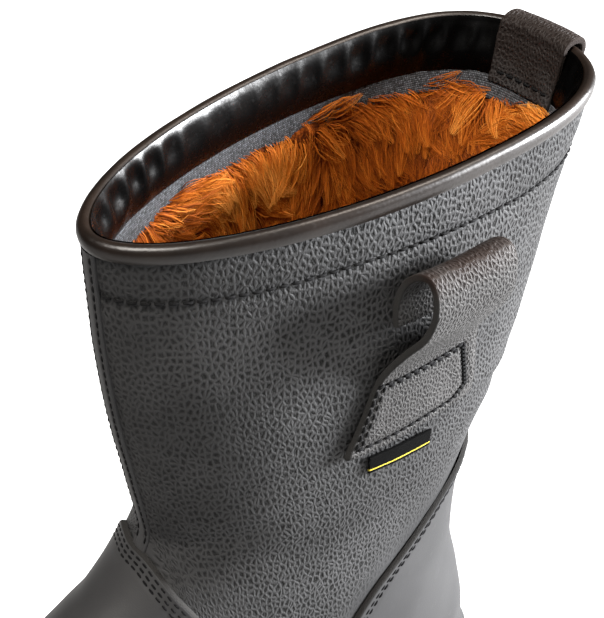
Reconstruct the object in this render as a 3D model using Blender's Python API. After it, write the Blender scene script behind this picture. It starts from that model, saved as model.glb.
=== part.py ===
"""Left pull-on rigger work boot: hollow leather upper, cleated sole and sewn-on leather pieces.

Sizes are in millimetres and are turned into metres when a mesh is made. X runs to the toe,
Y to the boot's outer side, Z up from the floor, and X = 0 lies at the front of the ankle.
"""
from collections import namedtuple
from math import pi

import bmesh
import bpy
import numpy as np

MM = 0.001

# Driving sizes of the boot
COLLAR_RIM = 268.2        # cut edge of the shaft leather, under the binding
HEEL_BACK = -125.5        # feather line at the heel
TOE_TIP = 163.0           # feather line at the toe
HEEL_ROUND = 36.0         # length of the round part of the outline, heel and toe
TOE_ROUND = 50.0
HEEL_POWER = 2.2
TOE_POWER = 2.4
WALL = 1.9                # leather of the upper
SEAM_GAP = 0.3            # clearance between pieces that are sewn or bonded together
OVERLAY = 1.7             # vamp, counter and heel strip leather
OVERLAY_LIFT = 0.6        # lower edge of the overlays over the feather line
STRAP = 2.2               # pull straps

# The part's origin is under the middle of its box
ORIGIN_X = -1.16
ORIGIN_Y = 5.14

# Sections of the upper, from the collar down the shaft, round the heel and along the foot.
# Each lies in a plane from its top point (front or instep line) to its base point (back line,
# or the feather line where base_z is None). outer and inner are its half widths, widest the
# place of the greatest width from 0 at the top to 1 at the base, and the powers its squareness.
Section = namedtuple("Section", "top_x top_z base_x base_z outer inner widest top_power base_power")
SECTIONS = [
    Section(17.3, COLLAR_RIM, -164.8, COLLAR_RIM, 41.4, 41.0, 0.61, 1.88, 2.8),
    Section(17.0, 237.0, -154.9, 237.0, 41.8, 41.6, 0.57, 1.86, 2.85),
    Section(15.0, 205.0, -145.8, 205.0, 42.2, 42.2, 0.53, 1.84, 2.85),
    Section(10.8, 174.0, -136.8, 172.0, 41.2, 41.2, 0.50, 1.85, 2.75),
    Section(7.7, 151.0, -126.6, 140.0, 39.4, 39.4, 0.50, 1.90, 2.4),
    Section(10.4, 142.6, -119.8, 114.0, 38.2, 38.2, 0.50, 1.95, 2.3),
    Section(15.4, 136.6, -118.8, 88.0, 37.8, 37.8, 0.52, 2.00, 2.35),
    Section(21.2, 132.2, -122.2, 66.0, 38.5, 38.5, 0.56, 2.00, 2.5),
    Section(27.8, 128.2, -125.3, 44.0, 39.5, 39.2, 0.59, 2.00, 2.6),
    Section(33.0, 125.4, HEEL_BACK, None, 40.0, 39.5, 0.61, 2.00, 2.6),
    Section(39.3, 122.6, -118.0, None, 40.5, 39.8, 0.62, 2.00, 2.5),
    Section(49.3, 116.8, -95.0, None, 42.0, 40.2, 0.64, 2.02, 2.4),
    Section(60.8, 110.4, -55.0, None, 44.0, 40.6, 0.66, 2.05, 2.3),
    Section(75.0, 104.2, 0.0, None, 48.0, 42.0, 0.69, 2.10, 2.3),
    Section(90.0, 97.6, 50.0, None, 53.0, 46.5, 0.68, 2.15, 2.3),
    Section(105.0, 92.4, 88.0, None, 52.5, 49.0, 0.62, 2.20, 2.3),
    Section(121.0, 87.4, 118.0, None, 49.0, 48.5, 0.56, 2.25, 2.3),
    Section(138.0, 81.5, 138.0, None, 46.5, 47.0, 0.52, 2.30, 2.3),
    Section(151.0, 73.6, 151.0, None, 45.0, 46.0, 0.50, 2.30, 2.3),
    Section(159.5, 62.0, 159.5, None, 44.0, 45.0, 0.50, 2.30, 2.3),
    Section(TOE_TIP, 47.0, TOE_TIP, None, 43.0, 44.0, 0.50, 2.30, 2.3),
]
ROUND_POINTS = 13         # points from the front or instep line to the base, on each side

# Half widths of the feather line before its ends are rounded
Width = namedtuple("Width", "x outer inner")
OUTLINE = [
    Width(-125.5, 34.5, 34.5),
    Width(-95.0, 35.5, 35.0),
    Width(-55.0, 36.5, 33.0),
    Width(-15.0, 41.0, 33.5),
    Width(25.0, 47.0, 38.5),
    Width(60.0, 50.0, 44.5),
    Width(95.0, 48.0, 46.0),
    Width(125.0, 44.0, 44.0),
    Width(163.0, 40.0, 41.0),
]

# Height of the feather line: heel seat, arch, ball and toe spring
Level = namedtuple("Level", "x z")
FEATHER = [Level(-140, 31.5), Level(-95, 31.0), Level(-55, 29.5), Level(-5, 25.5), Level(45, 23.2),
           Level(85, 23.2), Level(120, 26.0), Level(170, 35.0)]

# Underside of the sole, before the tread is cut
TREAD = [Level(-140, 1.5), Level(-126, 0.0), Level(-62, 0.0), Level(-57, 12.0), Level(-20, 11.0),
         Level(-12, 0.0), Level(96, 0.0), Level(125, 2.6), Level(170, 14.0)]
CLEAT_DEPTH = 5.0
CLEAT_GAP = 5.0
HEEL_CLEATS = [-113.0, -96.0, -79.0]
FORE_CLEATS = [5.0, 22.0, 39.0, 56.0, 73.0, 90.0, 107.0, 124.0]
CLEAT_SLOPE = 0.8         # run of a gap's sides
TREAD_INSET = 1.0         # tread edge inside the widest line of the side
PLAIN_PLACES = [-62.0, -57.0, -38.0, -20.0, -12.0, 140.0]    # heel breast, arch and toe
END_RUN = 14.0            # length of the closely spaced places at heel and toe
END_PLACES = 5

# Side of the sole: outset from the feather line and depth below its top edge
Rib = namedtuple("Rib", "outset depth")
SOLE_SIDE = [Rib(3.2, 0.0), Rib(4.4, 1.2), Rib(4.4, 6.0), Rib(3.2, 7.0), Rib(3.2, 9.0), Rib(4.2, 10.0)]

INSOLE_INSET = 5.0
INSOLE_THICK = 4.0
INSOLE_LIFT = 0.1         # over the feather line, clear of the sole
INSOLE_PLACES = 29

# Edges of the overlays in side view
VAMP_EDGE = [Level(36, 172), Level(8.5, 149), Level(11, 142), Level(7, 126), Level(-4, 95),
             Level(-11, 60), Level(-13, 27)]
COUNTER_EDGE = [Level(-175, 146), Level(-140, 144), Level(-103, 133.5), Level(-76, 119), Level(-51, 103),
                Level(-35, 80), Level(-28, 50), Level(-26, 28.5)]
HEEL_STRIP_HALF = 12.0
HEEL_STRIP_TOP = 102.0
HEEL_STRIP_FRONT = -95.0
EDGE_POINTS = 31          # points along each of these edges
FOOT_POINTS = 12          # points along the lower edges

# The cutters of the overlays run past the boot on every side
CUT_FRONT, CUT_BACK, CUT_HALF = 230.0, -180.0, 90.0
CUT_LOW = 40.0            # where a cutter's lower edge meets its front or back
FOOT_FRONT, FOOT_BACK = 168.0, -138.0

PIPING_HALF = 1.6
PIPING_HIGH = 1.1
PIPING_SIDE = 2.0         # its middle, towards the outer side of the front line
PIPING_BOTTOM = 151.5
PIPING_TOP = 263.0
PIPING_NEAR, PIPING_FAR = -40.0, 60.0

# Rolled binding round the collar, as outset from the skin and height over the cut edge
BINDING = [Rib(0.9, -3.0), Rib(1.3, -1.6), Rib(1.1, 0.4), Rib(0.2, 1.7), Rib(-0.95, 2.1), Rib(-2.1, 1.7),
           Rib(-3.0, 0.4), Rib(-3.2, -1.8), Rib(-2.8, -3.4), Rib(-2.3, -3.0), Rib(-2.3, 1.0), Rib(0.4, 1.0),
           Rib(0.4, -2.7)]

# Side pull loop: its middle line off the wall, and its front and back edges
Fold = namedtuple("Fold", "off z front_x back_x")
SIDE_LOOP = [
    Fold(1.5, 181.0, -41.0, -94.5),
    Fold(1.5, 193.0, -46.0, -94.0),
    Fold(1.5, 204.0, -50.3, -93.0),
    Fold(2.6, 209.8, -52.5, -92.0),
    Fold(5.0, 214.8, -54.3, -91.0),
    Fold(8.8, 220.4, -56.0, -90.5),
    Fold(14.4, 228.2, -57.0, -89.5),
    Fold(17.6, 235.8, -57.5, -89.0),
    Fold(18.4, 242.2, -57.5, -88.5),
    Fold(18.0, 246.4, -57.5, -88.5),
    Fold(16.2, 249.4, -57.5, -88.5),
    Fold(13.6, 249.8, -57.3, -88.5),
    Fold(10.6, 248.3, -57.0, -88.5),
    Fold(7.8, 245.4, -56.5, -88.5),
    Fold(5.4, 240.4, -56.0, -88.5),
    Fold(4.3, 234.4, -55.5, -88.5),
    Fold(4.3, 228.6, -55.5, -88.5),
]

LOOP_PLACES, LOOP_COLUMNS = 36, 4

# Back pull strap: middle line off the skin at the back of the shaft, inside leg first
Turn = namedtuple("Turn", "off z half_width")
BACK_STRAP = [Turn(-4.4, 250.6, 13.6), Turn(-4.5, 255.6, 13.8), Turn(-4.9, 261, 14), Turn(-5.6, 266, 14.2),
              Turn(-4.9, 270.8, 14.2), Turn(-0.9, 272.3, 14.2), Turn(3.1, 270.8, 14.2), Turn(3.9, 266, 14.2),
              Turn(2.9, 260, 14.2), Turn(1.8, 252, 14.2), Turn(1.7, 238, 14.2), Turn(1.7, 222, 14.2)]

STRAP_PLACES, STRAP_COLUMNS = 28, 7

# Small woven tag under the loop: middle point, size and lean in the wall
TAG_X, TAG_Z = -63.8, 171.3
TAG_LONG, TAG_HIGH, TAG_THICK = 27.0, 7.2, 0.8
TAG_LEAN = 0.13
TAG_COLUMNS = 7

# Colour and roughness of each material
Finish = namedtuple("Finish", "color roughness")
BLACK_LEATHER = Finish((0.028, 0.028, 0.031), 0.45)
SMOOTH_LEATHER = Finish((0.024, 0.024, 0.026), 0.40)
BINDING_LEATHER = Finish((0.020, 0.018, 0.018), 0.30)
RUBBER = Finish((0.020, 0.020, 0.021), 0.70)
FELT = Finish((0.250, 0.180, 0.110), 0.95)
WOVEN = Finish((0.015, 0.015, 0.015), 0.85)


def clear_scene():
    for item in list(bpy.data.objects):
        bpy.data.objects.remove(item)


def smooth_curve(knots, values, at):
    """Monotone cubic through the knots: smooth, and it never overshoots them."""
    knots = np.asarray(knots, float)
    values = np.asarray(values, float)
    at = np.asarray(at, float)
    step = np.diff(knots)
    slope = np.diff(values) / step
    tangent = np.zeros(len(knots))
    same_way = slope[:-1] * slope[1:] > 0
    total = np.where(same_way, slope[:-1] + slope[1:], 1.0)
    tangent[1:-1] = np.where(same_way, 2 * slope[:-1] * slope[1:] / total, 0.0)
    tangent[0] = slope[0]
    tangent[-1] = slope[-1]
    i = np.clip(np.searchsorted(knots, at, side="right") - 1, 0, len(step) - 1)
    u = (at - knots[i]) / step[i]
    start = values[i] + step[i] * tangent[i] * u * (1 - u) ** 2
    rise = (values[i + 1] - values[i]) * u * u * (3 - 2 * u)
    return start + rise - step[i] * tangent[i + 1] * u * u * (1 - u)


def through_points(points, count):
    """Catmull-Rom curve through hand-picked points, each with any number of columns."""
    points = np.asarray(points, float)
    padded = np.vstack([2 * points[0] - points[1], points, 2 * points[-1] - points[-2]])
    at = np.linspace(0, len(points) - 1, count)
    i = np.minimum(at.astype(int), len(points) - 2)
    u = (at - i)[:, None]
    a, b, c, d = (padded[i + k] for k in range(4))
    return b + 0.5 * u * (c - a + u * (2 * a - 5 * b + 4 * c - d + u * (3 * (b - c) + d - a)))


def feather_z(x):
    return smooth_curve([row.x for row in FEATHER], [row.z for row in FEATHER], x)


def end_round(x):
    """1 along the foot, falling to 0 at the heel's back and at the toe's tip."""
    heel = np.clip((HEEL_BACK + HEEL_ROUND - x) / HEEL_ROUND, 0, 1)
    toe = np.clip((x - TOE_TIP + TOE_ROUND) / TOE_ROUND, 0, 1)
    return (1 - heel ** HEEL_POWER) ** (1 / HEEL_POWER) * (1 - toe ** TOE_POWER) ** (1 / TOE_POWER)


def outline_half(x, side):
    """Half width of the feather line at x: side is 1 for the outer side and -1 for the inner."""
    column = [row.outer if side > 0 else row.inner for row in OUTLINE]
    return smooth_curve([row.x for row in OUTLINE], column, x) * end_round(x)


def section_at(place):
    """Columns of the section table, read between its rows."""
    rows = np.arange(len(SECTIONS))
    base_z = [feather_z(row.base_x) if row.base_z is None else row.base_z for row in SECTIONS]
    table = [row._replace(base_z=z) for row, z in zip(SECTIONS, base_z)]
    return Section(*(smooth_curve(rows, column, place) for column in zip(*table)))


def skin_line(place, side):
    """Points of one section, evenly spaced from the front or instep line to its base."""
    cut = section_at(place)
    heel_row = next(i for i, row in enumerate(SECTIONS) if row.base_z is None)
    half = cut.outer if side > 0 else cut.inner
    toe = np.clip((cut.base_x - TOE_TIP + TOE_ROUND) / TOE_ROUND, 0, 1)
    half = half * (1 - toe ** TOE_POWER) ** (1 / TOE_POWER)
    edge = outline_half(cut.base_x, side) if place > heel_row else 0.0
    turn = np.linspace(0, pi, 361)
    upper = turn <= pi / 2
    power = np.where(upper, cut.top_power, cut.base_power)
    along = np.abs(np.cos(turn)) ** (2 / power)
    bulge = np.abs(np.sin(turn)) ** (2 / power)
    down = np.where(upper, cut.widest * (1 - along), cut.widest + (1 - cut.widest) * along)
    y = np.where(upper, half * bulge, edge + (half - edge) * bulge)
    x = cut.top_x + (cut.base_x - cut.top_x) * down
    z = cut.top_z + (cut.base_z - cut.top_z) * down
    line = np.stack([x, side * y, z], axis=1)
    walked = np.concatenate([[0], np.cumsum(np.linalg.norm(np.diff(line, axis=0), axis=1))])
    even = np.linspace(0, walked[-1], ROUND_POINTS)
    return np.stack([np.interp(even, walked, column) for column in line.T], axis=1)


def section_places():
    """Where sections are taken: closer together round the heel and at the toe's tip."""
    shaft = np.linspace(0, 4, 8)
    ankle = np.linspace(4, 9, 11)[1:]
    heel = [9.5]
    foot = np.linspace(10, 17, 13)
    toe = 20 - 3 * (1 - np.linspace(0, 1, 9)[1:]) ** 2
    return np.concatenate([shaft, ankle, heel, foot, toe])


def new_object(name, mesh, finish):
    item = bpy.data.objects.new(name, mesh)
    bpy.context.scene.collection.objects.link(item)
    material = bpy.data.materials.new(name)
    material.use_nodes = True
    shader = material.node_tree.nodes["Principled BSDF"]
    shader.inputs["Base Color"].default_value = (*finish.color, 1.0)
    shader.inputs["Roughness"].default_value = finish.roughness
    mesh.materials.append(material)
    mesh.shade_smooth()
    mesh.set_sharp_from_angle(angle=pi / 5)
    item.parent = bpy.data.objects["boot_origin"]
    return item


def mesh_of(name, bm):
    bmesh.ops.remove_doubles(bm, verts=bm.verts, dist=2e-6)
    bmesh.ops.dissolve_degenerate(bm, edges=bm.edges, dist=1e-6)
    bmesh.ops.recalc_face_normals(bm, faces=bm.faces)
    mesh = bpy.data.meshes.new(name)
    bm.to_mesh(mesh)
    bm.free()
    return mesh


def add_grid(bm, points, flip=False, ring=False):
    """Quads over rows of points given in millimetres; a ring joins the last column to the first."""
    rows = [[bm.verts.new(point * MM) for point in row] for row in np.asarray(points, float)]
    columns = len(rows[0])
    for low, high in zip(rows, rows[1:]):
        for j in range(columns if ring else columns - 1):
            k = (j + 1) % columns
            corners = [low[j], low[k], high[k], high[j]]
            bm.faces.new(corners[::-1] if flip else corners)
    return rows


def skin_mesh(name, offset):
    """The upper's outside as an open sheet, moved outwards by offset.

    It is cut into triangles before it is moved, so that sheets laid over each other stay parallel.
    """
    bm = bmesh.new()
    places = section_places()
    add_grid(bm, [skin_line(place, 1) for place in places])
    add_grid(bm, [skin_line(place, -1) for place in places], flip=True)
    bmesh.ops.remove_doubles(bm, verts=bm.verts, dist=2e-6)
    bmesh.ops.dissolve_degenerate(bm, edges=bm.edges, dist=1e-6)
    bmesh.ops.triangulate(bm, faces=bm.faces, quad_method="SHORT_EDGE")
    bmesh.ops.recalc_face_normals(bm, faces=bm.faces)
    bm.normal_update()
    outer = max(bm.verts, key=lambda v: v.co.y)
    if outer.normal.y < 0:
        bmesh.ops.reverse_faces(bm, faces=bm.faces)
        bm.normal_update()
    moves = [(v, v.normal * offset * MM) for v in bm.verts]
    for v, move in moves:
        v.co += move
    mesh = bpy.data.meshes.new(name)
    bm.to_mesh(mesh)
    bm.free()
    return mesh


def thicken(item, thickness, outwards):
    layer = item.modifiers.new("leather", "SOLIDIFY")
    layer.thickness = thickness * MM
    layer.offset = 1.0 if outwards else -1.0
    layer.use_even_offset = False
    layer.use_rim = True


def prism(name, outline, half, middle=0.0):
    """Cutter: a side-view outline in X and Z, run across the boot by half to each side of its middle."""
    bm = bmesh.new()
    near = [bm.verts.new((x * MM, (middle - half) * MM, z * MM)) for x, z in outline]
    face = bm.faces.new(near)
    run = bmesh.ops.extrude_face_region(bm, geom=[face])
    moved = [v for v in run["geom"] if isinstance(v, bmesh.types.BMVert)]
    bmesh.ops.translate(bm, verts=moved, vec=(0, 2 * half * MM, 0))
    cutter = bpy.data.objects.new(name, mesh_of(name, bm))
    bpy.context.scene.collection.objects.link(cutter)
    cutter.parent = bpy.data.objects["boot_origin"]
    cutter.hide_render = True
    cutter.display_type = "WIRE"
    return cutter


def keep_inside(item, cutter):
    cut = item.modifiers.new("outline", "BOOLEAN")
    cut.operation = "INTERSECT"
    cut.object = cutter


def make_upper():
    item = new_object("upper", skin_mesh("upper", 0.0), BLACK_LEATHER)
    thicken(item, WALL, outwards=False)


def make_overlay(name, cutter, offset, thickness, finish):
    """A sewn-on piece: a thin shell just off the upper's skin, cut to its outline."""
    item = new_object(name, skin_mesh(name, offset), finish)
    thicken(item, thickness, outwards=True)
    keep_inside(item, cutter)


def sole_edge(start, end):
    """Lower edge of an overlay in side view, just clear of the sole's top."""
    xs = np.linspace(start, end, FOOT_POINTS)
    return list(zip(xs, feather_z(xs) + SEAM_GAP + OVERLAY_LIFT))


def make_overlays():
    vamp_edge = through_points(VAMP_EDGE, EDGE_POINTS)
    vamp_foot = sole_edge(VAMP_EDGE[-1].x, FOOT_FRONT)
    vamp_front = [(CUT_FRONT, CUT_LOW), (CUT_FRONT, VAMP_EDGE[0].z)]
    vamp = prism("vamp_cutter", [*vamp_edge, *vamp_foot, *vamp_front], CUT_HALF)
    make_overlay("vamp", vamp, SEAM_GAP, OVERLAY, SMOOTH_LEATHER)
    counter_edge = through_points(COUNTER_EDGE, EDGE_POINTS)
    counter_foot = sole_edge(COUNTER_EDGE[-1].x, FOOT_BACK)
    counter = prism("counter_cutter", [*counter_edge, *counter_foot, (CUT_BACK, CUT_LOW)], CUT_HALF)
    make_overlay("counter", counter, SEAM_GAP, OVERLAY, SMOOTH_LEATHER)
    strip_foot = sole_edge(HEEL_STRIP_FRONT, FOOT_BACK)
    strip_top = [(CUT_BACK, CUT_LOW), (CUT_BACK, HEEL_STRIP_TOP), (HEEL_STRIP_FRONT, HEEL_STRIP_TOP)]
    strip = prism("heel_strip_cutter", [*strip_foot, *strip_top], HEEL_STRIP_HALF)
    make_overlay("heel_strip", strip, 2 * SEAM_GAP + OVERLAY, OVERLAY, SMOOTH_LEATHER)
    low = [(PIPING_NEAR, PIPING_BOTTOM), (PIPING_FAR, PIPING_BOTTOM)]
    high = [(PIPING_FAR, PIPING_TOP), (PIPING_NEAR, PIPING_TOP)]
    piping = prism("front_piping_cutter", low + high, PIPING_HALF, PIPING_SIDE)
    make_overlay("front_piping", piping, SEAM_GAP, PIPING_HIGH, SMOOTH_LEATHER)


def outline_points(xs, side, outset):
    """Feather line at the given x places, moved outwards by outset along its normal."""
    fine = HEEL_BACK + (TOE_TIP - HEEL_BACK) * (1 - np.cos(np.linspace(0, pi, 801))) / 2
    curve = np.stack([fine, outline_half(fine, side)], axis=1)
    tangent = np.gradient(curve, axis=0)
    normal = np.stack([-tangent[:, 1], tangent[:, 0]], axis=1)
    normal /= np.linalg.norm(normal, axis=1)[:, None]
    normal[0] = (-1, 0)
    normal[-1] = (1, 0)
    columns = [np.interp(xs, fine, column) for column in (*curve.T, *normal.T)]
    x, y, nx, ny = columns
    return np.stack([x + outset * nx, side * (y + outset * ny)], axis=1)


def cleat_edges():
    """x places across the sole, and 1 where the underside is a cleat or 0 where it is a gap."""
    places = [(x, 1) for x in PLAIN_PLACES]
    ends = END_RUN * (1 - np.cos(np.linspace(0, pi / 2, END_PLACES, endpoint=False)))
    places += [(HEEL_BACK + run, 1) for run in ends]
    places += [(TOE_TIP - run, 1) for run in ends]
    half = CLEAT_GAP / 2
    for middle in HEEL_CLEATS + FORE_CLEATS:
        places += [(middle - half, 1), (middle - half + CLEAT_SLOPE, 0)]
        places += [(middle + half - CLEAT_SLOPE, 0), (middle + half, 1)]
    return sorted(places)


def make_outsole():
    places = cleat_edges()
    xs = np.array([x for x, cleat in places])
    cleat = np.array([cleat for x, cleat in places])
    tread_z = smooth_curve([row.x for row in TREAD], [row.z for row in TREAD], xs)
    under = tread_z + (1 - cleat) * CLEAT_DEPTH
    top = feather_z(xs) - SEAM_GAP
    side_lines = {}
    for side in (1, -1):
        lines = []
        for rib in SOLE_SIDE:
            lines.append(np.column_stack([outline_points(xs, side, rib.outset), top - rib.depth]))
        edge = outline_points(xs, side, SOLE_SIDE[-1].outset - TREAD_INSET)
        lines.append(np.column_stack([edge, under]))
        side_lines[side] = lines
    ring = side_lines[1] + side_lines[-1][::-1]
    bm = bmesh.new()
    rows = add_grid(bm, np.stack(ring, axis=1), ring=True)
    for row in (rows[0], rows[-1]):
        half = len(row) // 2
        for j in range(half - 1):
            bm.faces.new([row[j], row[j + 1], row[len(row) - 2 - j], row[len(row) - 1 - j]])
    new_object("outsole", mesh_of("outsole", bm), RUBBER)


def make_insole():
    ends = (1 - np.cos(np.linspace(0, pi, INSOLE_PLACES))) / 2
    xs = HEEL_BACK + (TOE_TIP - HEEL_BACK) * ends
    low = feather_z(xs) + INSOLE_LIFT
    lines = []
    for side in (1, -1):
        flat = outline_points(xs, side, -INSOLE_INSET)
        pair = [np.column_stack([flat, low + INSOLE_THICK]), np.column_stack([flat, low])]
        lines += pair if side > 0 else pair[::-1]
    bm = bmesh.new()
    rows = add_grid(bm, np.stack(lines, axis=1), ring=True)
    for row in (rows[0], rows[-1]):
        bm.faces.new(row)
    new_object("insole", mesh_of("insole", bm), FELT)


def collar_ring(place):
    """One whole section of the shaft, as points round the leg."""
    return np.vstack([skin_line(place, 1), skin_line(place, -1)[-2:0:-1]])


def make_binding():
    """Folded binding: its profile is carried round the collar and leans with the wall below."""
    ring, lower = (collar_ring(place) for place in section_places()[:2])
    lean = (lower - ring) / (ring[0, 2] - lower[0, 2])
    ahead = np.roll(ring, -1, axis=0) - ring
    behind = ring - np.roll(ring, 1, axis=0)
    tangent = ahead / np.linalg.norm(ahead, axis=1)[:, None] + behind / np.linalg.norm(behind, axis=1)[:, None]
    normal = np.stack([tangent[:, 1], -tangent[:, 0], 0 * tangent[:, 0]], axis=1)
    normal /= np.linalg.norm(normal, axis=1)[:, None]
    lines = []
    for rib in BINDING:
        line = ring + rib.outset * normal + max(-rib.depth, 0) * lean
        line[:, 2] = COLLAR_RIM + rib.depth
        lines.append(line)
    bm = bmesh.new()
    add_grid(bm, [*lines, lines[0]], ring=True)
    new_object("collar_binding", mesh_of("collar_binding", bm), BINDING_LEATHER)


def shaft_at(z):
    """Section of the shaft at height z, above the ankle where the sections are level."""
    places = np.linspace(0, 4, 81)
    depth = COLLAR_RIM - section_at(places).top_z
    return section_at(np.interp(COLLAR_RIM - np.asarray(z, float), depth, places))


def side_wall_y(x, z):
    """Outer side of the shaft at x and z."""
    cut = shaft_at(z)
    down = (cut.top_x - x) / (cut.top_x - cut.base_x)
    front = down < cut.widest
    power = np.where(front, cut.top_power, cut.base_power)
    run = np.where(front, (cut.widest - down) / cut.widest, (down - cut.widest) / (1 - cut.widest))
    return cut.outer * np.clip(1 - run ** power, 0, 1) ** (1 / power)


def back_wall_x(y, z):
    """Back of the shaft at y and z."""
    cut = shaft_at(z)
    run = (1 - np.abs(y / cut.outer) ** cut.base_power) ** (1 / cut.base_power)
    return cut.top_x + (cut.base_x - cut.top_x) * (cut.widest + (1 - cut.widest) * run)


def strap_solid(name, faces, finish):
    """Closed strap from two grids of points, its two faces, that share their rows and columns."""
    front, back = faces
    loop = np.concatenate([front, back[:, ::-1]], axis=1)
    bm = bmesh.new()
    rows = add_grid(bm, loop, ring=True)
    for row in (rows[0], rows[-1]):
        count = len(row)
        for j in range(count // 2 - 1):
            bm.faces.new([row[j], row[j + 1], row[count - 2 - j], row[count - 1 - j]])
    new_object(name, mesh_of(name, bm), finish)


def path_normals(path):
    """Normals of a path in its own plane, to its left."""
    tangent = np.gradient(path, axis=0)
    normal = np.stack([-tangent[:, 1], tangent[:, 0]], axis=1)
    return normal / np.linalg.norm(normal, axis=1)[:, None]


def make_side_loop():
    path = through_points(SIDE_LOOP, LOOP_PLACES)
    normals = path_normals(path[:, :2])
    across = np.linspace(0, 1, LOOP_COLUMNS)
    faces = []
    for half in (-STRAP / 2, STRAP / 2):
        off = path[:, 0] + half * normals[:, 0]
        z = path[:, 1] + half * normals[:, 1]
        x = path[:, 2:3] + (path[:, 3:4] - path[:, 2:3]) * across
        wall = side_wall_y(x, np.repeat(path[:, 1:2], len(across), axis=1))
        y = wall + off[:, None]
        faces.append(np.stack([x, y, np.repeat(z[:, None], len(across), axis=1)], axis=2))
    strap_solid("side_loop", faces, BLACK_LEATHER)


def make_back_strap():
    path = through_points(BACK_STRAP, STRAP_PLACES)
    normals = path_normals(path[:, :2])
    across = np.linspace(-1, 1, STRAP_COLUMNS)
    faces = []
    for half in (-STRAP / 2, STRAP / 2):
        off = path[:, 0] + half * normals[:, 0]
        z = path[:, 1] + half * normals[:, 1]
        y = path[:, 2:3] * across
        wall = back_wall_x(y, np.repeat(np.minimum(path[:, 1:2], COLLAR_RIM), len(across), axis=1))
        x = wall - off[:, None]
        faces.append(np.stack([x, y, np.repeat(z[:, None], len(across), axis=1)], axis=2))
    strap_solid("back_strap", faces, BLACK_LEATHER)


def make_tag():
    along = np.linspace(-TAG_LONG / 2, TAG_LONG / 2, TAG_COLUMNS)
    up = np.array([-TAG_HIGH / 2, TAG_HIGH / 2])
    x = TAG_X - along[:, None] + 0 * up
    z = TAG_Z + up - TAG_LEAN * along[:, None]
    wall = side_wall_y(x, z) + 2 * SEAM_GAP
    faces = [np.stack([x, wall + lift, z], axis=2) for lift in (0.0, TAG_THICK)]
    strap_solid("woven_tag", faces, WOVEN)


def main():
    clear_scene()
    origin = bpy.data.objects.new("boot_origin", None)
    bpy.context.scene.collection.objects.link(origin)
    origin.location = (-ORIGIN_X * MM, -ORIGIN_Y * MM, 0)
    make_outsole()
    make_insole()
    make_upper()
    make_overlays()
    make_binding()
    make_side_loop()
    make_back_strap()
    make_tag()


main()
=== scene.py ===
# %% [markdown]
# # The looks of a left rigger work boot
#
# The solids of the boot are loaded as a fixed frame. Each piece is then made again with the detail
# that the real one shows: leather with its grain, a rolled collar, a gathered lining, fur and thread.
# Sizes are in millimetres in the boot's drawing frame (X to the toe, Y to the outer side, Z up from
# the floor), as a shoemaker would note them, and turn into metres when a mesh is made.

# %% Load the frame
from collections import namedtuple
from math import cos, pi, radians, sin

import bpy
import numpy as np
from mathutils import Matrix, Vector
from mathutils.kdtree import KDTree


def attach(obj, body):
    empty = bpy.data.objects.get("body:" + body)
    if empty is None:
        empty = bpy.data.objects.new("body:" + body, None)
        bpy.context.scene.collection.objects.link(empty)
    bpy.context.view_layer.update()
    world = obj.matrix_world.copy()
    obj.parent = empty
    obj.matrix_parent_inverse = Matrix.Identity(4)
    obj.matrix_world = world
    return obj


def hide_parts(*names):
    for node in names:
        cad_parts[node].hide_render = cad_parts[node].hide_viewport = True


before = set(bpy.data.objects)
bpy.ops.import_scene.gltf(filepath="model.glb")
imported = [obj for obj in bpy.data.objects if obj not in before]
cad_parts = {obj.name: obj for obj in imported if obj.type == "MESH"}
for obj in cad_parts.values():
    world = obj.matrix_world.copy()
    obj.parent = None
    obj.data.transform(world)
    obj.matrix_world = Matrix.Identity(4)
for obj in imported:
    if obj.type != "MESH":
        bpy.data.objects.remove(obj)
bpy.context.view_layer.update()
MM = 0.001
ORIGIN = np.array([-1.16, 5.14, 0.0])    # the part's origin in the drawing frame
print("nodes:", sorted(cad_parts))

# %% [markdown]
# ## Camera
#
# The photograph looks down on the shaft from the outer side, turned towards the toe. The camera
# stands where that view was taken from: an angle forward of the side view, a height above the
# horizon, and a distance from the middle of the shaft. Its focal length is given in pixels of the
# 604 x 618 picture, whose long side carries the sensor's width.

# %% Camera
LOOK_AT = np.array([-49.5, 10.0, 217.5])
VIEW_TURN = radians(40.5)
VIEW_HEIGHT = radians(38.0)
VIEW_DISTANCE = 450.0
FOCAL_PIXELS = 1455.0
PICTURE_LONG_SIDE = 618.0
SENSOR_WIDTH = 36.0


def in_part(points):
    """Drawing millimetres to the part's metres."""
    return (np.asarray(points, float) - ORIGIN) * MM


def add_camera():
    data = bpy.data.cameras.new("camera")
    data.sensor_width = SENSOR_WIDTH
    data.lens = FOCAL_PIXELS * SENSOR_WIDTH / PICTURE_LONG_SIDE
    camera = bpy.data.objects.new("camera", data)
    bpy.context.scene.collection.objects.link(camera)
    level = cos(VIEW_HEIGHT)
    back = np.array([sin(VIEW_TURN) * level, cos(VIEW_TURN) * level, sin(VIEW_HEIGHT)])
    camera.location = in_part(LOOK_AT + VIEW_DISTANCE * back)
    camera.rotation_mode = "QUATERNION"
    camera.rotation_quaternion = Vector(-back).to_track_quat("-Z", "Y")
    bpy.context.scene.camera = camera
    return camera


camera = add_camera()
print("camera at", [round(value, 3) for value in camera.location])

# %% [markdown]
# ## Floor and light
#
# The studio is white. A low light on the boot's heel side greys the flank and throws the loop's shadow
# forward, two warm ones overhead light the fur and brown the rolled edges, and little light comes
# from the front, so that the front of the shaft stays dark. The floor is a pale plane that the camera
# sees as plain white, as in a picture with its ground cut out.

# %% Floor and sky
FLOOR_SIZE = 6.0
FLOOR_COLOR = (0.35, 0.35, 0.35)
FLOOR_ROUGH = 0.9
FLOOR_GLOW, FLOOR_SEEN = 0.05, 1.0      # the light that it gives, and how bright the camera sees it
SKY_COLOR = (1.0, 1.0, 1.0)
SKY_GLOW, SKY_SEEN = 0.045, 1.0


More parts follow.
